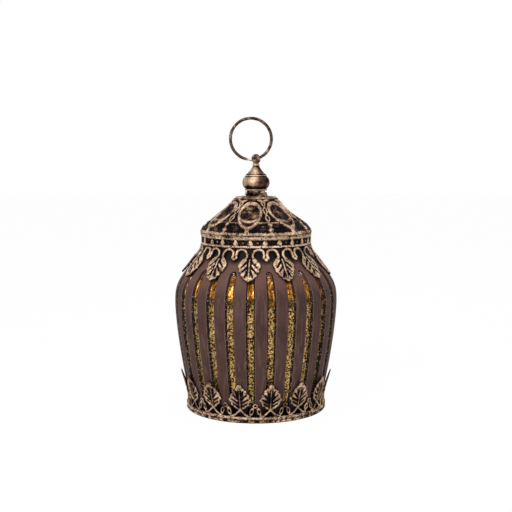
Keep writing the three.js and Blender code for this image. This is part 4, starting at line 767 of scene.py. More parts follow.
def base_leaf(x, y):
    """A scalloped leaf, deeply veined, on crossing legs over the rail, with half a sprig on each side."""
    side = np.abs(x)
    rise = y - STEM_HEIGHT
    away = math.radians(180 / BASE_COUNT) * base_radius(y) - side
    rail = y - RAIL_HEIGHT
    plate = polygon(x, rise, mirrored(BASE_LEAF))
    lobes = [np.hypot(side - lx, rise - ly) - radius for lx, ly, radius in BASE_LOBES]
    leaf = np.minimum(plate, np.minimum.reduce(lobes))
    slots = [capsule(side, rise, start, end, width, 0.55) for start, end, width in BASE_SLOTS]
    slots.append(capsule(side, rise, (0.9, 1.0), (0.85, 14.3), 0.5, 0.55))
    slots = np.minimum.reduce(slots)
    midrib = capsule(side, rise, (0, 0.4), (0, 14.6), 0.5, 0.35)
    legs = np.minimum(along_path(side, y, smooth_curve(BASE_LEG, 4), 0.8), np.hypot(side, y - 9.3) - 1.5)
    leaflet = oval(away, y, (2.6, 8.2), 3.1, 1.5, -16)
    foot = capsule(away, y, (3.3, 5.6), (3.8, 4.2), 0.5, 0.7)
    bead = np.hypot(away * 0.9, y - 12.5) - 1.6
    open_leaflet = np.maximum(leaflet, -0.75 - leaflet)
    open_bead = np.maximum(bead, -0.85 - bead)
    link = capsule(away, y, (0, 11.0), (1.6, 10.6), 0.4)
    distance = np.minimum.reduce([rail, leaf, legs, open_leaflet, foot, open_bead, link])

    plate_high = swell(leaf, 0.6) * smoothstep(0.5 + slots / 0.35)
    raised = np.maximum.reduce(
        [
            plate_high, 0.75 * swell(midrib, 0.4), swell(legs, 0.7),
            swell(np.abs(leaflet + 0.4) - 0.42, 0.35), swell(np.abs(bead + 0.4) - 0.45, 0.4),
            swell(foot, 0.5), swell(link, 0.5), 0.85 * swell(rail, 0.8),
        ]
    )
    relief = np.where(rail < -1.2, raised * 0.58, raised * 0.9)
    return distance, 0.22 + 0.68 * raised, relief


def base_collar():
    rows = np.arange(JAR_BOTTOM, STEM_HEIGHT + BASE_LEAF_LENGTH + 0.6, LEAF_CELL)
    shape, tone = pierced_sheet(BASE_COUNT, BASE_PHASE, rows, base_leaf, base_radius)
    piece("base_collar_pierced", shape, "jar", BRONZE, ["base_leaf_collar"], relief=tone)


TOP_DROP = TOP_STEM_HEIGHT - bottom_of("top_leaf_collar")
TOP_SLANT = math.hypot(TOP_DROP, TOP_TIP_RADIUS - TOP_STEM_RADIUS)
# The right half of a hanging leaf, from its root at 0 down to its tip, and of the arch that carries it
TOP_LEAF = [
    (0, -18.2), (1.4, -17.6), (2.6, -16.7), (4.3, -14.7), (5.1, -12.6), (6.6, -10.2), (7.4, -7.6),
    (7.5, -5.8), (6.3, -3.2), (4.3, -1.2), (2.4, 0.0), (0, -0.2),
]
TOP_LOBES = [(6.6, -5.8), (5.9, -9.5), (4.4, -12.8), (2.7, -15.4), (0, -17.1)]
TOP_SLOTS = [((1.2, -2.0), (5.4, -6.9)), ((1.2, -6.6), (4.6, -10.4)), ((1.1, -10.4), (2.8, -14.9))]
TOP_STRAND = [
    (9.6, 0.8), (9.55, 3.2), (8.6, 5.5), (6.0, 6.5), (3.3, 5.6), (2.1, 3.6), (1.9, 1.8), (2.6, 0.4),
    (4.3, -0.9), (6.0, -3.0), (6.9, -5.3),
]


def top_radius(y):
    """Inner face of the top collar, y millimetres up it from the leaves' roots."""
    down = np.clip((ARCH_CROWN - TOP_STEM_HEIGHT - y) / (ARCH_CROWN - TOP_STEM_HEIGHT), 0, 1)
    arch = TOP_ARCH_RADIUS + (TOP_STEM_RADIUS - TOP_ARCH_RADIUS) * down**2
    leaf = TOP_STEM_RADIUS - y * (TOP_TIP_RADIUS - TOP_STEM_RADIUS) / TOP_SLANT
    return np.where(y > 0, arch, leaf)


def top_height(y):
    return TOP_STEM_HEIGHT + np.where(y > 0, y, y * TOP_DROP / TOP_SLANT)


def top_leaf(x, y):
    """A hanging leaf under half an arch on each side, with a bead between two arches."""
    side = np.abs(x)
    away = math.radians(180 / TOP_COUNT) * top_radius(y) - side
    plate = polygon(x, y, mirrored(TOP_LEAF))
    lobes = np.minimum.reduce([np.hypot(side - lx, y - ly) - 1.45 for lx, ly in TOP_LOBES])
    leaf = np.minimum(plate, lobes)
    strand = along_path(side, y, smooth_curve(TOP_STRAND, 4), STRAND_HALF_WIDTH)
    bead = np.hypot(away, y + 0.6) - 1.35
    slots = np.minimum.reduce([capsule(side, y, start, end, 0.85, 0.6) for start, end in TOP_SLOTS])
    groove = capsule(side, y, (1.15, 0.3), (0.85, -14.2), 0.7, 0.38)
    midrib = capsule(side, y, (0, -0.2), (0, -16.5), 0.45, 0.35)
    distance = np.minimum.reduce([leaf, strand, bead])

    sunk = smoothstep(0.5 + np.minimum(slots, groove) / 0.3)
    raised = np.maximum(swell(leaf, 0.7) * sunk, swell(midrib, 0.4))
    arch = swell(strand, 0.85) * smoothstep(0.5 + groove / 0.3)
    raised = np.maximum.reduce([raised, arch, 1.1 * swell(bead, 1.3)])
    fold = 0.5 * smoothstep(1 - side / 7.5) * smoothstep(-y / 3) * (leaf < 0)
    return distance, 0.25 + 0.6 * raised + fold, raised


def top_collar():
    draw = np.random.default_rng(LEAN_SEED)
    lean = draw.uniform(-0.15, 0.5, TOP_COUNT)
    roll = draw.uniform(-0.25, 0.25, TOP_COUNT)

    def stand(x, y, leaf):
        """Each leaf is bent off the glass a little differently."""
        share = np.clip(-y / TOP_SLANT, 0, 1)
        window = smoothstep(1.35 - np.abs(x) / 8)
        return window * (lean[leaf] * share**2 + roll[leaf] * share * x / 8)

    rows = np.arange(-TOP_SLANT, ARCH_CROWN - TOP_STEM_HEIGHT + 0.1, LEAF_CELL)
    shape, tone = pierced_sheet(TOP_COUNT, TOP_PHASE, rows, top_leaf, top_radius, top_height, stand)
    piece("top_collar_pierced", shape, "jar", BRONZE, ["top_leaf_collar"], relief=tone)


# Turned pieces

RIM_BORE = 40
HOOP_BORE = 38
HOOP_SIDES = 384
DENT_SIZE = 2.6
DENT_SEED = 17


def prominence(outline, reach=1.2):
    """Tone of each outline point: 1 on a ridge, 0 in a groove, by how far it stands off those near it."""
    outline = np.asarray(outline, float)
    gap = np.linalg.norm(outline[:, None] - outline[None], axis=-1)
    weight = np.exp(-((gap / reach) ** 2))
    mean = weight @ outline / weight.sum(1, keepdims=True)
    along = np.gradient(outline, axis=0)
    outward = np.stack([along[:, 1], -along[:, 0]], 1)
    outward /= np.linalg.norm(outward, axis=1, keepdims=True) + 1e-9
    return np.clip(0.45 + ((outline - mean) * outward).sum(1) * 1.8, 0, 1)


def turned_piece(
    name, outline, body, look, replaced=(), sides=128, closed=True, tones=None, patches=None, dents=0
):
    """A lathed piece. Its tone follows its ridges or the given tones, and varies in patches: how much, how
    wide in millimetres and the seed. Dents are given in millimetres."""
    outline = np.asarray(outline, float)
    tone = prominence(outline) if tones is None else np.asarray(tones, float)
    points, faces = lathe(outline, sides, closed)
    if closed:
        tone = np.repeat(tone, sides)
    else:
        tone = np.concatenate([np.repeat(tone[1:-1], sides), tone[[0, -1]]])
    if patches is not None:
        much, size, seed = patches
        tone = tone + much * waves(points, size, seed)
    if dents:
        worn = np.clip(waves(points, DENT_SIZE, DENT_SEED) - 0.2, 0, 1)[:, None]
        radius = np.maximum(np.hypot(points[:, 0], points[:, 1]), 1)[:, None]
        points = points * (1 - dents * worn / radius * [1, 1, 0])
        tone = tone - 0.9 * worn[:, 0]
    piece(name, (points, faces), body, look, replaced, relief=tone)


def base_rim():
    """A pressed hoop with a flange under the glass and a bead at its foot."""
    outer, top = radius_of("base_rim") - 0.02, top_of("base_rim")
    steps = [(1.6, 0), (0.5, 0.12), (0, 0.75), (0.1, 1.3), (0.32, 1.7), (0.3, 2.6), (0.05, 3.1), (0, 3.6)]
    steps += [(0.25, top), (0.7, top - 0.15), (0.72, 1.3), (1.4, 1.15)]
    outline = [(RIM_BORE, 0.1), *[(outer - inwards, height) for inwards, height in steps], (RIM_BORE, 1.1)]
    # The first tones darken the rim's bottom edge along the floor, as painted contact shadow.
    tones = [0, -0.6, -0.25, 0.6, 0.8, 0.42, 0.6, 0.95, 1.1, 0.85, 0.4, 0.1, 0.1, 0]
    varied = {"tones": tones, "patches": (0.2, 6, 19), "dents": 0.15, "sides": HOOP_SIDES}
    turned_piece("base_rim_pressed", outline, "jar", BRONZE, ["base_rim"], **varied)


GALLERY_BOTTOM, GALLERY_TOP = span_of("neck_gallery")
GALLERY_OUTER = radius_of("neck_gallery") - 0.05
GALLERY_POSTS = 24
GALLERY_BORE = 35.1
NECK_RAIL_LOW, NECK_RAIL_HIGH = 121.2, 122.4


def gallery_band(x, y):
    """A drop-shaped post, half a gap with a small diamond in its middle, and the two rails."""
    side = np.abs(x)
    away = math.radians(180 / GALLERY_POSTS) * GALLERY_OUTER - side
    low_rail = y - GALLERY_BOTTOM - 1.5
    high_rail = GALLERY_TOP - 1.05 - y
    drop = capsule(side, y, (0, GALLERY_TOP - 1), (0, GALLERY_BOTTOM + 2.8), 0.9, 2.05)
    diamond = (away + np.abs(y - (GALLERY_TOP + GALLERY_BOTTOM) / 2 - 0.1) - 1.4) * 0.7
    pin = np.maximum(away - 0.3, -1.0)
    distance = np.minimum.reduce([low_rail, high_rail, drop, diamond, pin])
    rails = np.minimum(low_rail, high_rail)
    raised = np.maximum.reduce([0.95 * swell(rails, 0.7), swell(drop, 1.3), 0.55 * swell(diamond, 0.8)])
    return distance, 0.25 + 0.85 * raised, 1.1 * raised


def neck_gallery():
    rows = np.arange(GALLERY_BOTTOM, GALLERY_TOP + 0.01, GALLERY_CELL)
    inner = GALLERY_OUTER - 1.1
    shape, tone = pierced_sheet(
        GALLERY_POSTS, TOP_PHASE, rows, gallery_band, lambda y: inner + 0 * y, cell=GALLERY_CELL
    )
    piece("gallery_band", shape, "jar", BRONZE, ["neck_gallery"], relief=tone)
    outer = inner + 0.1
    for name, bore, low, high in (
        ("gallery_flange", GALLERY_BORE, JAR_TOP, GALLERY_TOP),
        ("gallery_rail", NECK_RADIUS + CLEARANCE, NECK_RAIL_LOW, NECK_RAIL_HIGH),
    ):
        turned_piece(name, [(bore, low), (outer, low), (outer, high), (bore, high)], "jar", BRONZE)


# The lid


def bezier(corners, share):
    corners = np.asarray(corners, float)
    share = share[:, None]
    weights = ((1 - share) ** 3, 3 * share * (1 - share) ** 2, 3 * share**2 * (1 - share), share**3)
    return sum(weight * corner for weight, corner in zip(weights, corners))


LID_LINE = bezier(LID_CURVE, np.linspace(0, 1, 400))
LID_ARC = np.concatenate([[0], np.cumsum(np.linalg.norm(np.diff(LID_LINE, axis=0), axis=1))])


def lid_spot(up):
    """Radius, height and outward direction at a distance up the lid's slope."""
    radius = np.interp(up, LID_ARC, LID_LINE[:, 0])
    height = np.interp(up, LID_ARC, LID_LINE[:, 1])
    slope = np.gradient(LID_LINE, axis=0)
    slope /= np.linalg.norm(slope, axis=1, keepdims=True)
    along_r = np.interp(up, LID_ARC, slope[:, 0])
    along_z = np.interp(up, LID_ARC, slope[:, 1])
    return radius, height, along_z, -along_r


def up_lid(height):
    return float(np.interp(height, LID_LINE[:, 1], LID_ARC))


def lid_relief(x, away, up):
    """Height over the lid's ground, and tone, at a distance up its slope. x is how far a place lies beside
    the middle of a medallion, and away is how far from the line between two of them."""
    low, high = up_lid(MEDALLION_LOW), up_lid(MEDALLION_HIGH)
    middle, reach = (low + high) / 2, (high - low) / 2
    share = (up - middle) / reach
    width = MEDALLION_HALF_WIDTH * (1 + 0.1 * np.clip(share, -1, 1))
    egg = (np.hypot(x / width, share) - 1) * MEDALLION_HALF_WIDTH
    rim = np.abs(egg + MEDALLION_RIM / 2) - MEDALLION_RIM / 2
    dish = egg + MEDALLION_RIM
    smile_middle = middle + 0.32 * reach
    smile = np.abs(np.hypot(x, (up - smile_middle) * 0.95) - 0.7 * reach) - 1.4
    smile = np.where(up < smile_middle - 0.25 * reach, smile, 9.0)
    stalk = np.abs(x) - np.interp(up, (0, 1.5, 3.5, 7), (3.4, 2.4, 1.6, 1.6))
    stalk = np.maximum(stalk, up - low - 1)
    braid_low, braid_high = up_lid(BRAID_LOW), up_lid(BRAID_HIGH)
    weave = 1.25 * np.sin((up - braid_low) * np.pi * BRAID_WAVES / (braid_high - braid_low))
    braid = np.minimum(np.abs(away - weave), np.abs(away + weave)) - 0.6
    braid = np.maximum.reduce([braid, braid_low - up, up - braid_high])
    cap = capsule(away, up, (0, up_lid(BRAID_CAP[0])), (3.2, up_lid(BRAID_CAP[1])), 1.2, 0.8)
    bar_up, under_up = up_lid(BAR_HEIGHT), up_lid(UNDER_BAR_HEIGHT)
    bar = np.maximum(np.abs(up - bar_up) - 0.6, away - 8)
    under = np.maximum(np.abs(up - under_up) - 0.5, away - 6.5)
    post = np.maximum(away - 1.0, up - bar_up)
    beads = [np.hypot(away, (up - up_lid(height)) * 1.1) - 1.9 for height in BEAD_HEIGHTS]
    spots = np.stack([x, up, away], -1).reshape(-1, 3)
    ragged = waves(spots, 4, 13).reshape(x.shape)
    border = up - 2.5 - 0.3 * ragged
    crown = LID_ARC[-1] - 1.2 - up

    strokes = np.stack([0.3 * (x + 0.3 * up), up - 0.35 * x, 0 * x], -1).reshape(-1, 3)
    hammered = np.clip(waves(strokes, 2.2, 11).reshape(x.shape), -1, 1)
    upper = smoothstep(0.5 + (up - middle + 0.2 * reach) / 2)
    floor = 0.25 + 0.3 * hammered * upper - 0.15 * swell(dish, 5)
    # Inside its rim, the lower half of each dish is painted lighter, as light on its upward-facing slope.
    floor_tone = 0.12 + 0.32 * hammered * upper + 0.14 * (1 - upper) * smoothstep(1 + dish / 3)
    inside = dish < 0
    forms = [
        (0.95 * swell(rim, 1.1), 0.95), (np.where(inside, 0.5 * swell(smile, 1.4) + 0.1, 0), 0.8),
        (0.75 * swell(stalk, 1.2), 1.0), (0.7 * swell(braid, 0.6), 1.0), (0.8 * swell(cap, 0.9), 0.95),
        (0.55 * swell(bar, 0.6), 0.7), (0.4 * swell(under, 0.4), 0.35), (0.5 * swell(post, 0.8), 0.7),
        (1.0 * swell(beads[0], 1.6), 1.0), (1.0 * swell(beads[1], 1.6), 1.0),
        (0.55 * swell(border, 0.7) * (1 + 0.25 * ragged), 0.95), (0.5 * swell(crown, 0.8), 0.35),
    ]
    outside = egg > 0
    raised, tone = np.where(inside, floor, 0.0), np.where(inside, floor_tone, 0.0)
    for index, (form, bright) in enumerate(forms):
        form = np.where(outside | (index < 2), form, 0)
        taller = form > raised
        raised = np.where(taller, form, raised)
        tone = np.where(taller, bright * np.clip(form / (form.max() + 1e-9), 0, 1) ** 0.6, tone)
    return raised * smoothstep(up / 0.8), tone * smoothstep(up / 0.6)


def lid_shell():
    pitch = 360 / MEDALLION_COUNT
    columns = MEDALLION_COUNT * LID_COLUMNS
    turns = np.arange(columns) * 360 / columns
    up = np.linspace(0, LID_ARC[-1], 92)[:, None]
    radius, height, out_r, out_z = lid_spot(up)
    off = (turns - MEDALLION_PHASE + pitch / 2) % pitch - pitch / 2
    x = np.radians(off) * radius
    away = np.radians(pitch / 2 - np.abs(off)) * radius
    raised, tone = lid_relief(x, away, up + 0 * x)
    outer = around(turns, radius + out_r * raised, height + out_z * raised)
    under = np.linspace(LID_ARC[-1], 0, 14)[:, None]
    radius, height, out_r, out_z = lid_spot(under)
    height = np.clip(height - out_z * LID_WALL, LID_BOTTOM, LID_TOP - LID_WALL)
    inner = around(turns, radius - out_r * LID_WALL, height)
    flat = rings(turns, [(STUD_BORE, LID_TOP), (STUD_BORE, LID_TOP - LID_WALL)])
    shape = skin(np.vstack([outer, flat, inner]))
    tone = np.concatenate([tone.ravel(), np.full(flat[..., 0].size + inner[..., 0].size, 0.1)])
    piece("lid_relief", shape, "lid", BRONZE, ["lid_shell"], relief=tone)


def lid_hoop():
    """A hoop with a groove between two ridges."""
    inner, outer = HOOP_BORE, radius_of("lid_hoop")
    low, high = span_of("lid_hoop")
    steps = [(0.6, 0), (0.1, 0.2), (0, 0.45), (0.3, 0.75), (0.45, 0.85), (0.25, 1), (0.05, 1.25)]
    outline = [(inner, low), *[(outer - inwards, low + up) for inwards, up in steps]]
    outline += [(outer - 0.3, high - 0.05), (outer - 0.7, high), (inner, high)]
    tones = [0.2, 0.6, 1.2, 1.35, 1.0, 0.5, 0.9, 1.45, 1.15, 0.8, 0.2]
    varied = {"tones": tones, "patches": (0.3, 5, 9), "dents": 0.25, "sides": HOOP_SIDES}
    turned_piece("lid_hoop_ridged", outline, "lid", BRONZE, ["lid_hoop"], **varied)


# The finial and its ring

PLATE_LOW, PLATE_HIGH = span_of("top_plate")
FOOT_HIGH = top_of("finial_foot")
FOOT_WIDE = 7.7
FOOT_NARROW = 6.6
BINDING_TURNS = 2
BINDING_PITCH = 1.45
BINDING_START = 25
BINDING_RADIUS = 0.5
BINDING_STAND = 0.58
ONION_LOW, ONION_HIGH = span_of("finial_onion")
BULB_HEIGHT = 9.3
EYE_RADIUS = 3.2
EYE_BORE = 1.85
EYE_HEIGHT = top_of("ring_eye_stud") - EYE_RADIUS
RING_RADIUS = 14.85
RING_WIRE = 1.15
RING_LEAN = 14.3
RING_SPLIT = 22
RING_SPAN = 358.6
RING_POINTS = 220


def top_plate():
    """A flat disc with a rounded edge."""
    outer, low, high = radius_of("top_plate") - 0.05, PLATE_LOW, PLATE_HIGH
    outline = [(STUD_BORE, low), (outer - 0.6, low), (outer - 0.1, low + 0.3), (outer, low + 0.75)]
    outline += [(outer - 0.3, low + 1.2), (outer - 0.9, high - 0.1), (outer - 2, high), (STUD_BORE, high)]
    tones = [0.3, 0.25, 0.45, 0.9, 0.5, 0.4, 0.45, 0.2]
    varied = {"tones": tones, "patches": (0.3, 12, 3)}
    turned_piece("top_plate_rounded", outline, "lid", TURNED, ["top_plate"], **varied)


def finial_foot():
    outline = [(STUD_BORE, PLATE_HIGH), (FOOT_WIDE, PLATE_HIGH), (7.45, PLATE_HIGH + 0.7)]
    outline += [(6.9, PLATE_HIGH + 2), (6.62, FOOT_HIGH - 1), (FOOT_NARROW, FOOT_HIGH)]
    outline.append((STUD_BORE, FOOT_HIGH))
    outline = np.vstack([outline[:1], smooth_curve(outline[1:6], 4), outline[6:]])
    turned_piece("finial_foot_flared", outline, "lid", TURNED, ["finial_foot"], patches=(0.45, 9, 276))


def binding_wire():
    """The wire wound round the foot, a little thinner at its two ends."""
    turns = np.linspace(0, BINDING_TURNS, 145)
    low = PLATE_HIGH + (FOOT_HIGH - PLATE_HIGH - BINDING_TURNS * BINDING_PITCH) / 2
    height = low + turns * BINDING_PITCH
    share = (height - PLATE_HIGH) / (FOOT_HIGH - PLATE_HIGH)
    reach = FOOT_WIDE - (FOOT_WIDE - FOOT_NARROW) * share + BINDING_STAND
    route = around(turns * 360 + BINDING_START, reach, height)
    radius = np.full(len(route), BINDING_RADIUS)
    radius[[0, -1]] = 0.3
    shape = tube(route, radius)
    tone = 0.5 + 0.45 * waves(shape[0], 7, 21)
    piece("binding_wire_round", shape, "lid", TURNED, ["binding_wire"], relief=tone)


def finial_ring():
    outer = radius_of("finial_ring") - 0.02
    arc = np.radians(np.linspace(-80, 80, 9))
    middle = (FOOT_HIGH + ONION_LOW) / 2
    outline = [(STUD_BORE, FOOT_HIGH)]
    outline += [(outer - 0.6 + 0.6 * math.cos(a), middle + 0.59 * math.sin(a)) for a in arc]
    outline.append((STUD_BORE, ONION_LOW))
    turned_piece("finial_ring_round", outline, "lid", TURNED, ["finial_ring"])


def finial_onion():
    """A full bulb, a ledge, and a waisted cone up to the eye."""
    ledge = ONION_LOW + BULB_HEIGHT
    share = np.linspace(0, 1, 22)
    bulb = np.stack([9.9 - 2.3 * np.abs(2 * share - 1) ** 2.4, ONION_LOW + BULB_HEIGHT * share], 1)
    bulb[0] += [-0.3, 0]
    lip = [(7.75, ledge + 0.15), (7.8, ledge + 0.4), (7.65, ledge + 0.7)]
    share = np.linspace(0.04, 1, 18)
    cone = np.stack([2.5 + 5.1 * (1 - share) ** 1.4, ledge + 0.8 + (ONION_HIGH - ledge - 0.8) * share], 1)
    outline = np.vstack([[(STUD_BORE, ONION_LOW)], bulb, lip, cone, [(STUD_BORE, ONION_HIGH)]])
    # The bulb's tones paint a highlight round its belly and shade towards its top and bottom, partly patina
    # in the grooves there; the cone's tones darken towards both its ends.
    places, levels = (0, 0.08, 0.3, 0.7, 0.9, 1), (-0.4, 0.1, 0.75, 0.7, 0.55, -0.3)
    on_bulb = np.interp(np.linspace(0, 1, 22), places, levels)
    on_cone = np.interp(np.linspace(0, 1, 18), (0, 0.12, 0.5, 0.85, 1), (-0.5, 0.25, 0.1, -0.2, -0.5))
    tones = np.concatenate([[-0.5], on_bulb, [0.4, 0.85, 0.6], on_cone, [0]])
    varied = {"tones": tones, "patches": (0.42, 16, 252)}
    turned_piece("finial_onion_smooth", outline, "lid", TURNED, ["finial_onion"], **varied)


def ring_eye():
    """A ball on a bead, bored along the leaning ring's wire, and its stud down through the lid."""
    bore, ball = EYE_BORE, EYE_RADIUS + 0.35
    edge = math.degrees(math.acos((bore + 0.25) / ball))
    arc = np.radians(np.linspace(-edge, edge, 25))
    profile = np.stack([ball * np.cos(arc), ball * np.sin(arc)], 1)
    half = profile[-1][1]
    profile = np.vstack([profile, [(bore, half - 0.35), (bore, 0), (bore, 0.35 - half)]])
    points, faces = lathe(profile, 48, True)
    lean = math.radians(RING_LEAN)
    across = np.array([math.cos(lean), 0, math.sin(lean)])
    other = np.array([-math.sin(lean), 0, math.cos(lean)])
    points = points[:, :1] * other + points[:, 1:2] * [0, 1, 0] + points[:, 2:] * across
    points += [0, 0, EYE_HEIGHT]
    flipped = [face[::-1] for face in faces]
    tone = 0.6 + 0.25 * waves(points, 4, 31)
    piece("ring_eye_ball", (points, flipped), "lid", TURNED, ["ring_eye_stud"], relief=tone)
    low = bottom_of("ring_eye_stud")
    foot = ONION_HIGH + 0.3
    outline = [(0, low), (1.5, low), (1.9, low + 0.4), (1.9, ONION_HIGH - 0.2), (2.1, foot)]
    bead = [(2.45, 0), (2.6, 0.4), (2.6, 0.8), (2.35, 1.2), (1.9, 1.7), (1.6, 2.3), (0, 2.4)]
    outline += [(radius, foot + up) for radius, up in bead]
    turned_piece("ring_eye_bead", outline, "lid", TURNED, sides=48, closed=False)


def hanging_ring():
    """A bent wire whose tapered ends meet left of the eye, with a paler tone near them."""
    lean = math.radians(RING_LEAN)
    centre = np.array([-RING_RADIUS * math.sin(lean), 0, EYE_HEIGHT + RING_RADIUS * math.cos(lean)])
    at_eye = math.atan2(EYE_HEIGHT - centre[2], -centre[0])
    span = math.radians(RING_SPAN)
    turn = at_eye - math.radians(RING_SPLIT) - span * np.linspace(0, 1, RING_POINTS)
    route = centre + RING_RADIUS * np.stack([np.cos(turn), 0 * turn, np.sin(turn)], 1)
    steps = np.arange(RING_POINTS)
    end = np.minimum(steps, steps[::-1]) * RING_RADIUS * span / (RING_POINTS - 1)
    radius = RING_WIRE * (0.75 + 0.25 * smoothstep((end + 0.2) / 2.5))
    radius = radius * (1 - 0.02 * (1 + waves(route, 7, 41)))
    tone = np.concatenate([np.repeat(smoothstep(1 - end / 4), 16), [1, 1]])
    piece("hanging_ring_wire", tube(route, radius, 16), "hanging_ring", WIRE, ["hanging_ring"], relief=tone)


# The lamp under the lid

COVER_LOW, COVER_HIGH = span_of("housing_cover")
HOUSING_RADIUS = radius_of("housing_cover")
HOUSING_WALL = 1.6
HOUSING_HIGH = top_of("battery_housing")
BOSS_RADIUS = 2.6
POST_RADIUS = 1.8
POST_PLACE = 14
WELL_INNER, WELL_OUTER = 10.3, 11.5
WELL_MOUTH = 18
SEAT = bottom_of("lid_hoop")
CELL_PLACE = (float(box_mm("coin_cell_1")[0][0] + box_mm("coin_cell_1")[1][0]) / 2, 0.0)
CELLS_LOW = bottom_of("coin_cell_1")
WELL_ROOF = top_of("spring_contact")
BOARD_LOW, BOARD_HIGH = span_of("circuit_board")
SCREW_PLACE = 19.45
SCREW_RADIUS = 1.1
SCREW_HEAD = 2.05
SCREW_PLACES = [(x, y) for x in (-SCREW_PLACE, SCREW_PLACE) for y in (-SCREW_PLACE, SCREW_PLACE)]
LEAD_BORE = 3
SLOT_WIDTH, SLOT_LENGTH = 2.8, 6.8
SLOT_PLACE = 20
COIN_LENGTH, COIN_WIDTH = 16, 1.8
DOOR_RADIUS = 10.9
DOOR_HIGH = top_of("battery_door")
DOOR_STEP = 0.7
LUG_WIDTH = 4
LUG_REACH = float(box_mm("battery_door")[1][1])
SOCKET_RADIUS = radius_of("lamp_socket")
SHELL_RADIUS = radius_of("lamp_cap") - 0.5
SHELL_HIGH = top_of("lamp_cap")
SHELL_WALL = 0.4
THREAD_TURNS = 3
THREAD_HIGH = 0.5
BULB_RADIUS = radius_of("lamp_bulb") - 0.02
BULB_HIGH = top_of("lamp_bulb")
BULB_LENGTH = BULB_HIGH - bottom_of("lamp_bulb")
BULB_WALL = 0.7
BULB_NECK = 12
STEM_RADIUS = 1.2
PLUG_RADIUS = 3.9
ARM_RADIUS = 0.38
FILAMENT_FOOT, FILAMENT_SPREAD = 3.6, 3.4
FILAMENT_END, FILAMENT_SWELL = 0.2, 0.55


def battery_housing():
    """A cup that hangs mouth down, with screw bosses, board posts and the cells' well."""
    outer, room, low, high = HOUSING_RADIUS, HOUSING_RADIUS - HOUSING_WALL, COVER_HIGH, HOUSING_HIGH
    flange = radius_of("battery_housing")
    outline = [(room, low), (outer, low), (outer, SEAT - 0.4), (outer + 0.12, SEAT - 0.12)]
    outline += [(outer + 0.4, SEAT), (flange - 0.3, SEAT), (flange, SEAT + 0.3), (flange, high)]
    outline += [(STUD_BORE, high), (STUD_BORE, SEAT), (room - 0.5, SEAT), (room, SEAT - 0.5)]
    shapes = [lathe(outline, 128, True)]
    bore, wall = SCREW_RADIUS + CLEARANCE, BOSS_RADIUS
    boss = lathe([(bore, low), (wall, low), (wall, SEAT), (bore, SEAT)], 32, True)
    shapes += [shifted(boss, x, y) for x, y in SCREW_PLACES]
    post = lathe([(0, BOARD_HIGH), (POST_RADIUS, BOARD_HIGH), (POST_RADIUS, SEAT), (0, SEAT)], 32)
    shapes += [shifted(post, POST_PLACE, y) for y in (-POST_PLACE, POST_PLACE)]
    inner, wall = WELL_INNER, WELL_OUTER
    outside, inside = (circle(radius, low=WELL_MOUTH, high=360 - WELL_MOUTH) for radius in (wall, inner))
    split = BOARD_LOW + CLEARANCE
    ring = [(inner, split), (wall, split), (wall, SEAT), (inner, SEAT)]
    roof = [(0, WELL_ROOF), (inner + 0.1, WELL_ROOF), (inner + 0.1, SEAT), (0, SEAT)]
    slotted = plate([np.vstack([outside, inside[::-1]])], CELLS_LOW, split)
    well = joined(slotted, lathe(ring, 96, True), lathe(roof, 96))
    shapes.append(shifted(well, *CELL_PLACE))
    piece("housing_cup", joined(*shapes), "lid", BLACK, ["battery_housing"])


def housing_cover():
    """The flat cover with its door hole and lug notches, slider slot, lead hole and screw holes."""
    opening, reach, half = (size + CLEARANCE for size in (DOOR_RADIUS, LUG_REACH, LUG_WIDTH / 2))
    side = math.degrees(math.asin(half / opening))
    hole = []
    for turn in (135, 315):
        tip = np.array([[reach, -half], [reach, half]])
        angle = math.radians(turn)
        spin = np.array([[math.cos(angle), math.sin(angle)], [-math.sin(angle), math.cos(angle)]])
        hole += [tip @ spin, circle(opening, count=40, low=turn + side, high=turn + 180 - side)]
    outlines = [circle(HOUSING_RADIUS, count=128), np.vstack(hole) + CELL_PLACE, circle(LEAD_BORE, count=32)]
    outlines.append(bar(SLOT_WIDTH, SLOT_LENGTH, (SLOT_PLACE, 0)))
    outlines += [circle(SCREW_RADIUS + CLEARANCE, place, 24) for place in SCREW_PLACES]
    piece("cover_disc", plate(outlines, COVER_LOW, COVER_HIGH, 0.3), "lid", BLACK, ["housing_cover"])


def battery_door():
    """A coin-slotted disc with a ledge behind it and two lugs."""
    slot_floor, ledge = COVER_LOW + 0.8, COVER_LOW + 1.4
    face = plate([circle(DOOR_RADIUS), bar(COIN_LENGTH, COIN_WIDTH)], COVER_LOW, slot_floor, 0.25)
    outline = [(0, slot_floor), (DOOR_RADIUS, slot_floor), (DOOR_RADIUS, ledge)]
    outline += [(DOOR_RADIUS - DOOR_STEP, ledge), (DOOR_RADIUS - DOOR_STEP, DOOR_HIGH), (0, DOOR_HIGH)]
    lugs = plate([bar(LUG_WIDTH, 2 * LUG_REACH)], DOOR_HIGH - 1, DOOR_HIGH, 0.15)
    shape = shifted(joined(face, lathe(outline, 96), lugs), *CELL_PLACE)
    piece("door_disc", shape, "battery_door", BLACK, ["battery_door"])


def cover_screws():
    """Slotted screws with domed heads."""
    head, neck = COVER_LOW - 1.3, COVER_LOW - 0.6
    side = math.degrees(math.asin(0.3 / SCREW_HEAD))
    lobes = [circle(SCREW_HEAD, count=20, low=side + turn, high=180 - side + turn) for turn in (0, 180)]
    shank = [(0, neck), (SCREW_HEAD, neck), (2.2, neck + 0.3), (2.28, COVER_LOW), (SCREW_RADIUS, COVER_LOW)]
    shank += [(SCREW_RADIUS, COVER_LOW + 9), (0, COVER_LOW + 10)]
    screw = joined(*[plate([lobe], head, neck, 0.35) for lobe in lobes], lathe(shank, 40))
    for number in range(1, 5):
        low, high = box_mm(f"cover_screw_{number}")
        shape = shifted(screw, (low[0] + high[0]) / 2, (low[1] + high[1]) / 2)
        piece(f"cover_screw_turned_{number}", shape, "lid", ZINC, [f"cover_screw_{number}"])


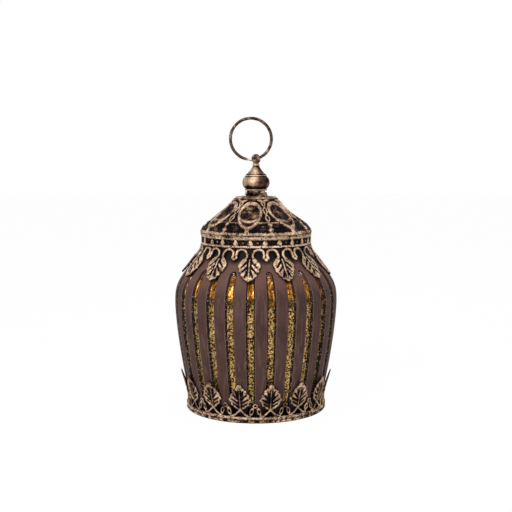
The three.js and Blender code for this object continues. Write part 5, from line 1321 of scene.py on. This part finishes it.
def neck_gasket():
    """A silicone ring with two round lips."""
    low, high = span_of("neck_gasket")
    inner, outer = HOUSING_RADIUS + CLEARANCE, radius_of("neck_gasket")
    share = np.linspace(0, 1, 33)
    lips = np.stack([outer - 0.5 * (1 - np.abs(np.sin(2 * np.pi * share))), low + (high - low) * share], 1)
    shape = lathe(np.vstack([[(inner, low)], lips, [(inner, high)]]), 128, True)
    piece("gasket_lipped", shape, "lid", SILICONE, ["neck_gasket"])


def lamp_socket():
    """A cup that holds the cap, with the leads' hole in its floor."""
    low, high, outer, wall = bottom_of("lamp_socket"), COVER_LOW, SOCKET_RADIUS, SOCKET_RADIUS - 1.4
    outline = [(wall, low + 0.2), (wall + 0.2, low), (outer - 0.5, low), (outer - 0.15, low + 0.15)]
    outline += [(outer, low + 0.5), (outer, high), (LEAD_BORE, high), (LEAD_BORE, high - 2)]
    outline.append((wall, high - 2))
    piece("socket_cup", lathe(outline, 96, True), "lid", BLACK, ["lamp_socket"])


def lamp_cap():
    """A thin brass cap with a rolled thread that fades out at both ends."""
    low, high, sides = bottom_of("lamp_cap"), SHELL_HIGH, 96
    thread_high = bottom_of("lamp_socket") - CLEARANCE
    pitch = (thread_high - low) / THREAD_TURNS
    turns = np.arange(sides) * 360 / sides
    height = np.linspace(low, thread_high, 49)[:, None]
    share = (height - low) / pitch
    fade = smoothstep(share / 0.4) * smoothstep((THREAD_TURNS - share) / 0.4)
    thread = SHELL_RADIUS + THREAD_HIGH * fade * (0.5 - 0.5 * np.cos(2 * np.pi * (share - turns / 360)))
    wall = SHELL_RADIUS - SHELL_WALL
    inside = rings(turns, [(wall, high - 1.2), (wall, low)])
    shell = rings(turns, [(SHELL_RADIUS, high - SHELL_WALL), (wall, high)])
    grid = np.vstack([inside, around(turns, thread, height), shell])
    piece("cap_threaded", skin(grid, [(0, 0, high - 1.2), (0, 0, high)]), "lid", BRASS, ["lamp_cap"])


def bulb_radius(drop):
    """Radius of the bulb at a distance down from its neck's upper end."""
    centre, neck = BULB_LENGTH - BULB_RADIUS, SHELL_RADIUS - 0.7
    ball = np.sqrt(np.clip(BULB_RADIUS**2 - (drop - centre) ** 2, 0, None))
    waist = neck + (BULB_RADIUS - neck) * np.sqrt(smoothstep((drop - BULB_NECK) / (centre - BULB_NECK)))
    return np.where(drop >= centre, ball, waist)


def lamp_bulb():
    """Blown glass with an open neck."""
    centre, wall = BULB_LENGTH - BULB_RADIUS, BULB_WALL
    angles = np.radians(np.linspace(90, 3, 26))
    ball, neck = centre + BULB_RADIUS * np.sin(angles), np.linspace(centre, BULB_NECK, 24)
    drops = np.concatenate([ball, neck, [BULB_NECK / 2, 0]])
    outside = np.stack([bulb_radius(drops), BULB_HIGH - drops], 1)
    inner = np.minimum(drops[1:], BULB_LENGTH - wall)[::-1]
    reach = np.stack([bulb_radius(inner) - wall, BULB_HIGH - inner], 1)
    ball = inner > centre
    reach[ball, 0] = np.sqrt(np.clip((BULB_RADIUS - wall) ** 2 - (inner[ball] - centre) ** 2, 0, None))
    outline = np.vstack([outside, reach, [(0, BULB_HIGH - BULB_LENGTH + wall)]])
    piece("bulb_blown", lathe(outline, 96), "lid", CLEAR, ["lamp_bulb"], sharp=60)


def lamp_stem():
    """The stem with its plug, two crossed arms over the filaments and the foot that they stand on."""
    low, high = span_of("lamp_stem")
    outline = [(0, low), (4.2, low), (4.4, low + 0.2), (4.4, low + 0.6), (4.2, low + 0.8), (1.7, low + 1.1)]
    outline += [(STEM_RADIUS, low + 1.6), (STEM_RADIUS, high - 8), (1.7, high - 7.6), (3.4, high - 6.4)]
    outline += [(PLUG_RADIUS, high - 5.8), (PLUG_RADIUS, high), (0, high)]
    reach, height = 7.6, top_of("filament_1") + 0.55
    ends = [(around(turn, -reach, height), around(turn, reach, height)) for turn in (45, 135)]
    arms = [tube(np.linspace(start, end, 9), ARM_RADIUS) for start, end in ends]
    piece("stem_pressed", joined(lathe(outline, 48), *arms), "lid", CLEAR, ["lamp_stem"])


def filaments():
    """Rods of phosphor with rounded ends, standing outwards."""
    low, high = span_of("filament_1")
    for number in range(1, 5):
        near, far = box_mm(f"filament_{number}")
        turn = math.degrees(math.atan2(near[0] + far[0], -near[1] - far[1]))
        share = smoothstep(np.linspace(0, 1, 31))
        route = around(turn, FILAMENT_FOOT + FILAMENT_SPREAD * share, low + 0.1 + (high - low - 0.2) * share)
        end = np.minimum(share, 1 - share) * (high - low)
        radius = FILAMENT_END + FILAMENT_SWELL * swell(-end, 0.7)
        piece(f"filament_rod_{number}", tube(route, radius, 20), "lid", PHOSPHOR, [f"filament_{number}"])


# Stage


def aim(thing, place, target):
    thing.location = Vector(place) * MM
    direction = Vector(target) * MM - thing.location
    thing.rotation_euler = direction.to_track_quat("-Z", "Y").to_euler()


def camera():
    data = bpy.data.cameras.new("camera")
    data.lens = LENS
    data.sensor_width = SENSOR
    made = link(data, "camera")
    aim(made, (0, -CAMERA_BACK, CAMERA_HEIGHT), (0, 0, AIM_HEIGHT))
    bpy.context.scene.camera = made


def softbox(name, place, size, level):
    """An area lamp that adds that level to a matte surface facing it at the lantern."""
    data = bpy.data.lights.new(name, "AREA")
    data.shape = "DISK"
    data.size = size * MM
    data.energy = level * (math.pi * (Vector(place) * MM).length) ** 2
    aim(link(data, name), place, (0, 0, AIM_HEIGHT))


def seen_rays(tree):
    """1 for rays that see the background: from the camera, in gloss and through glass."""
    paths = [add(tree, "LightPath", {}, f"Is {kind} Ray") for kind in ("Camera", "Glossy", "Transmission")]
    seen = add(tree, "Math", {0: paths[0], 1: paths[1]}, operation="MAXIMUM")
    return add(tree, "Math", {0: seen, 1: paths[2]}, operation="MAXIMUM")


def studio():
    world = bpy.data.worlds.new("studio")
    bpy.context.scene.world = world
    world.use_nodes = True
    tree = world.node_tree
    tree.nodes.clear()
    level = add(tree, "MapRange", {"Value": seen_rays(tree), "To Min": WORLD_LEVEL})
    back = add(tree, "Background", {"Color": "#ffffff", "Strength": level})
    add(tree, "OutputWorld", {"Surface": back})


def floor():
    """A white floor that shows as white but keeps the lantern's shadow."""
    made, tree, shader = material("floor_white", base_color=colour("#f6f5f3"), roughness=0.7)
    shine = add(tree, "Emission", {"Color": "#ffffff", "Strength": 1.0})
    share = add(tree, "Math", {0: seen_rays(tree), 1: FLOOR_GLOW}, operation="MULTIPLY")
    mixed = add(tree, "MixShader", {0: share, 1: shader.outputs[0], 2: shine})
    tree.links.new(mixed, tree.nodes["Material Output"].inputs["Surface"])
    half = FLOOR_SIZE / 2
    data = bpy.data.meshes.new("floor")
    corners = [(-half, -half, 0), (half, -half, 0), (half, half, 0), (-half, half, 0)]
    data.from_pydata(corners, [], [(0, 1, 2, 3)])
    data.materials.append(made)
    link(data, "floor")


# Build

WELD_REACH = 0.01
EDGE_WIDTH = 0.12
EDGE_ANGLE = 35


def dress(look, *nodes):
    """Gives CAD nodes a material, and rounds their edges."""
    slot, surface = look
    for name in nodes:
        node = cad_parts[name]
        node.data.materials.clear()
        node.data.materials.append(surface)
        weld = node.modifiers.new("weld", "WELD")
        weld.merge_threshold = WELD_REACH * MM
        edges = node.modifiers.new("edges", "BEVEL")
        edges.width = EDGE_WIDTH * MM
        edges.segments = 2
        edges.angle_limit = math.radians(EDGE_ANGLE)


bpy.context.scene.view_settings.view_transform = "Standard"
camera()
studio()
floor()
softbox("key", (-460, -700, 520), 420, KEY_LEVEL)
softbox("fill", (620, -560, 300), 520, FILL_LEVEL)
softbox("top", (0, -160, 1100), 500, TOP_LEVEL)
softbox("back", (150, 620, 560), 420, BACK_LEVEL)

PIECES = (
    glass_jar, base_collar, base_rim, neck_gallery, top_collar, lid_shell, lid_hoop, top_plate, finial_foot,
    binding_wire, finial_ring, finial_onion, ring_eye, hanging_ring, battery_housing, housing_cover,
    battery_door, cover_screws, neck_gasket, lamp_socket, lamp_cap, lamp_bulb, lamp_stem, filaments,
)
for build in PIECES:
    build()

dress(ZINC, "spacer_tube", "stud_washer", "stud_nut", "spring_contact", "side_contact", "switch_body")
dress(CELL_STEEL, "coin_cell_1", "coin_cell_2")
dress(BOARD, "circuit_board")
dress(CHIP, "timer_chip")
dress(SLIDER, "switch_slider")
dress(RED, "lead_positive")
dress(DARK_INSULATION, "lead_negative")
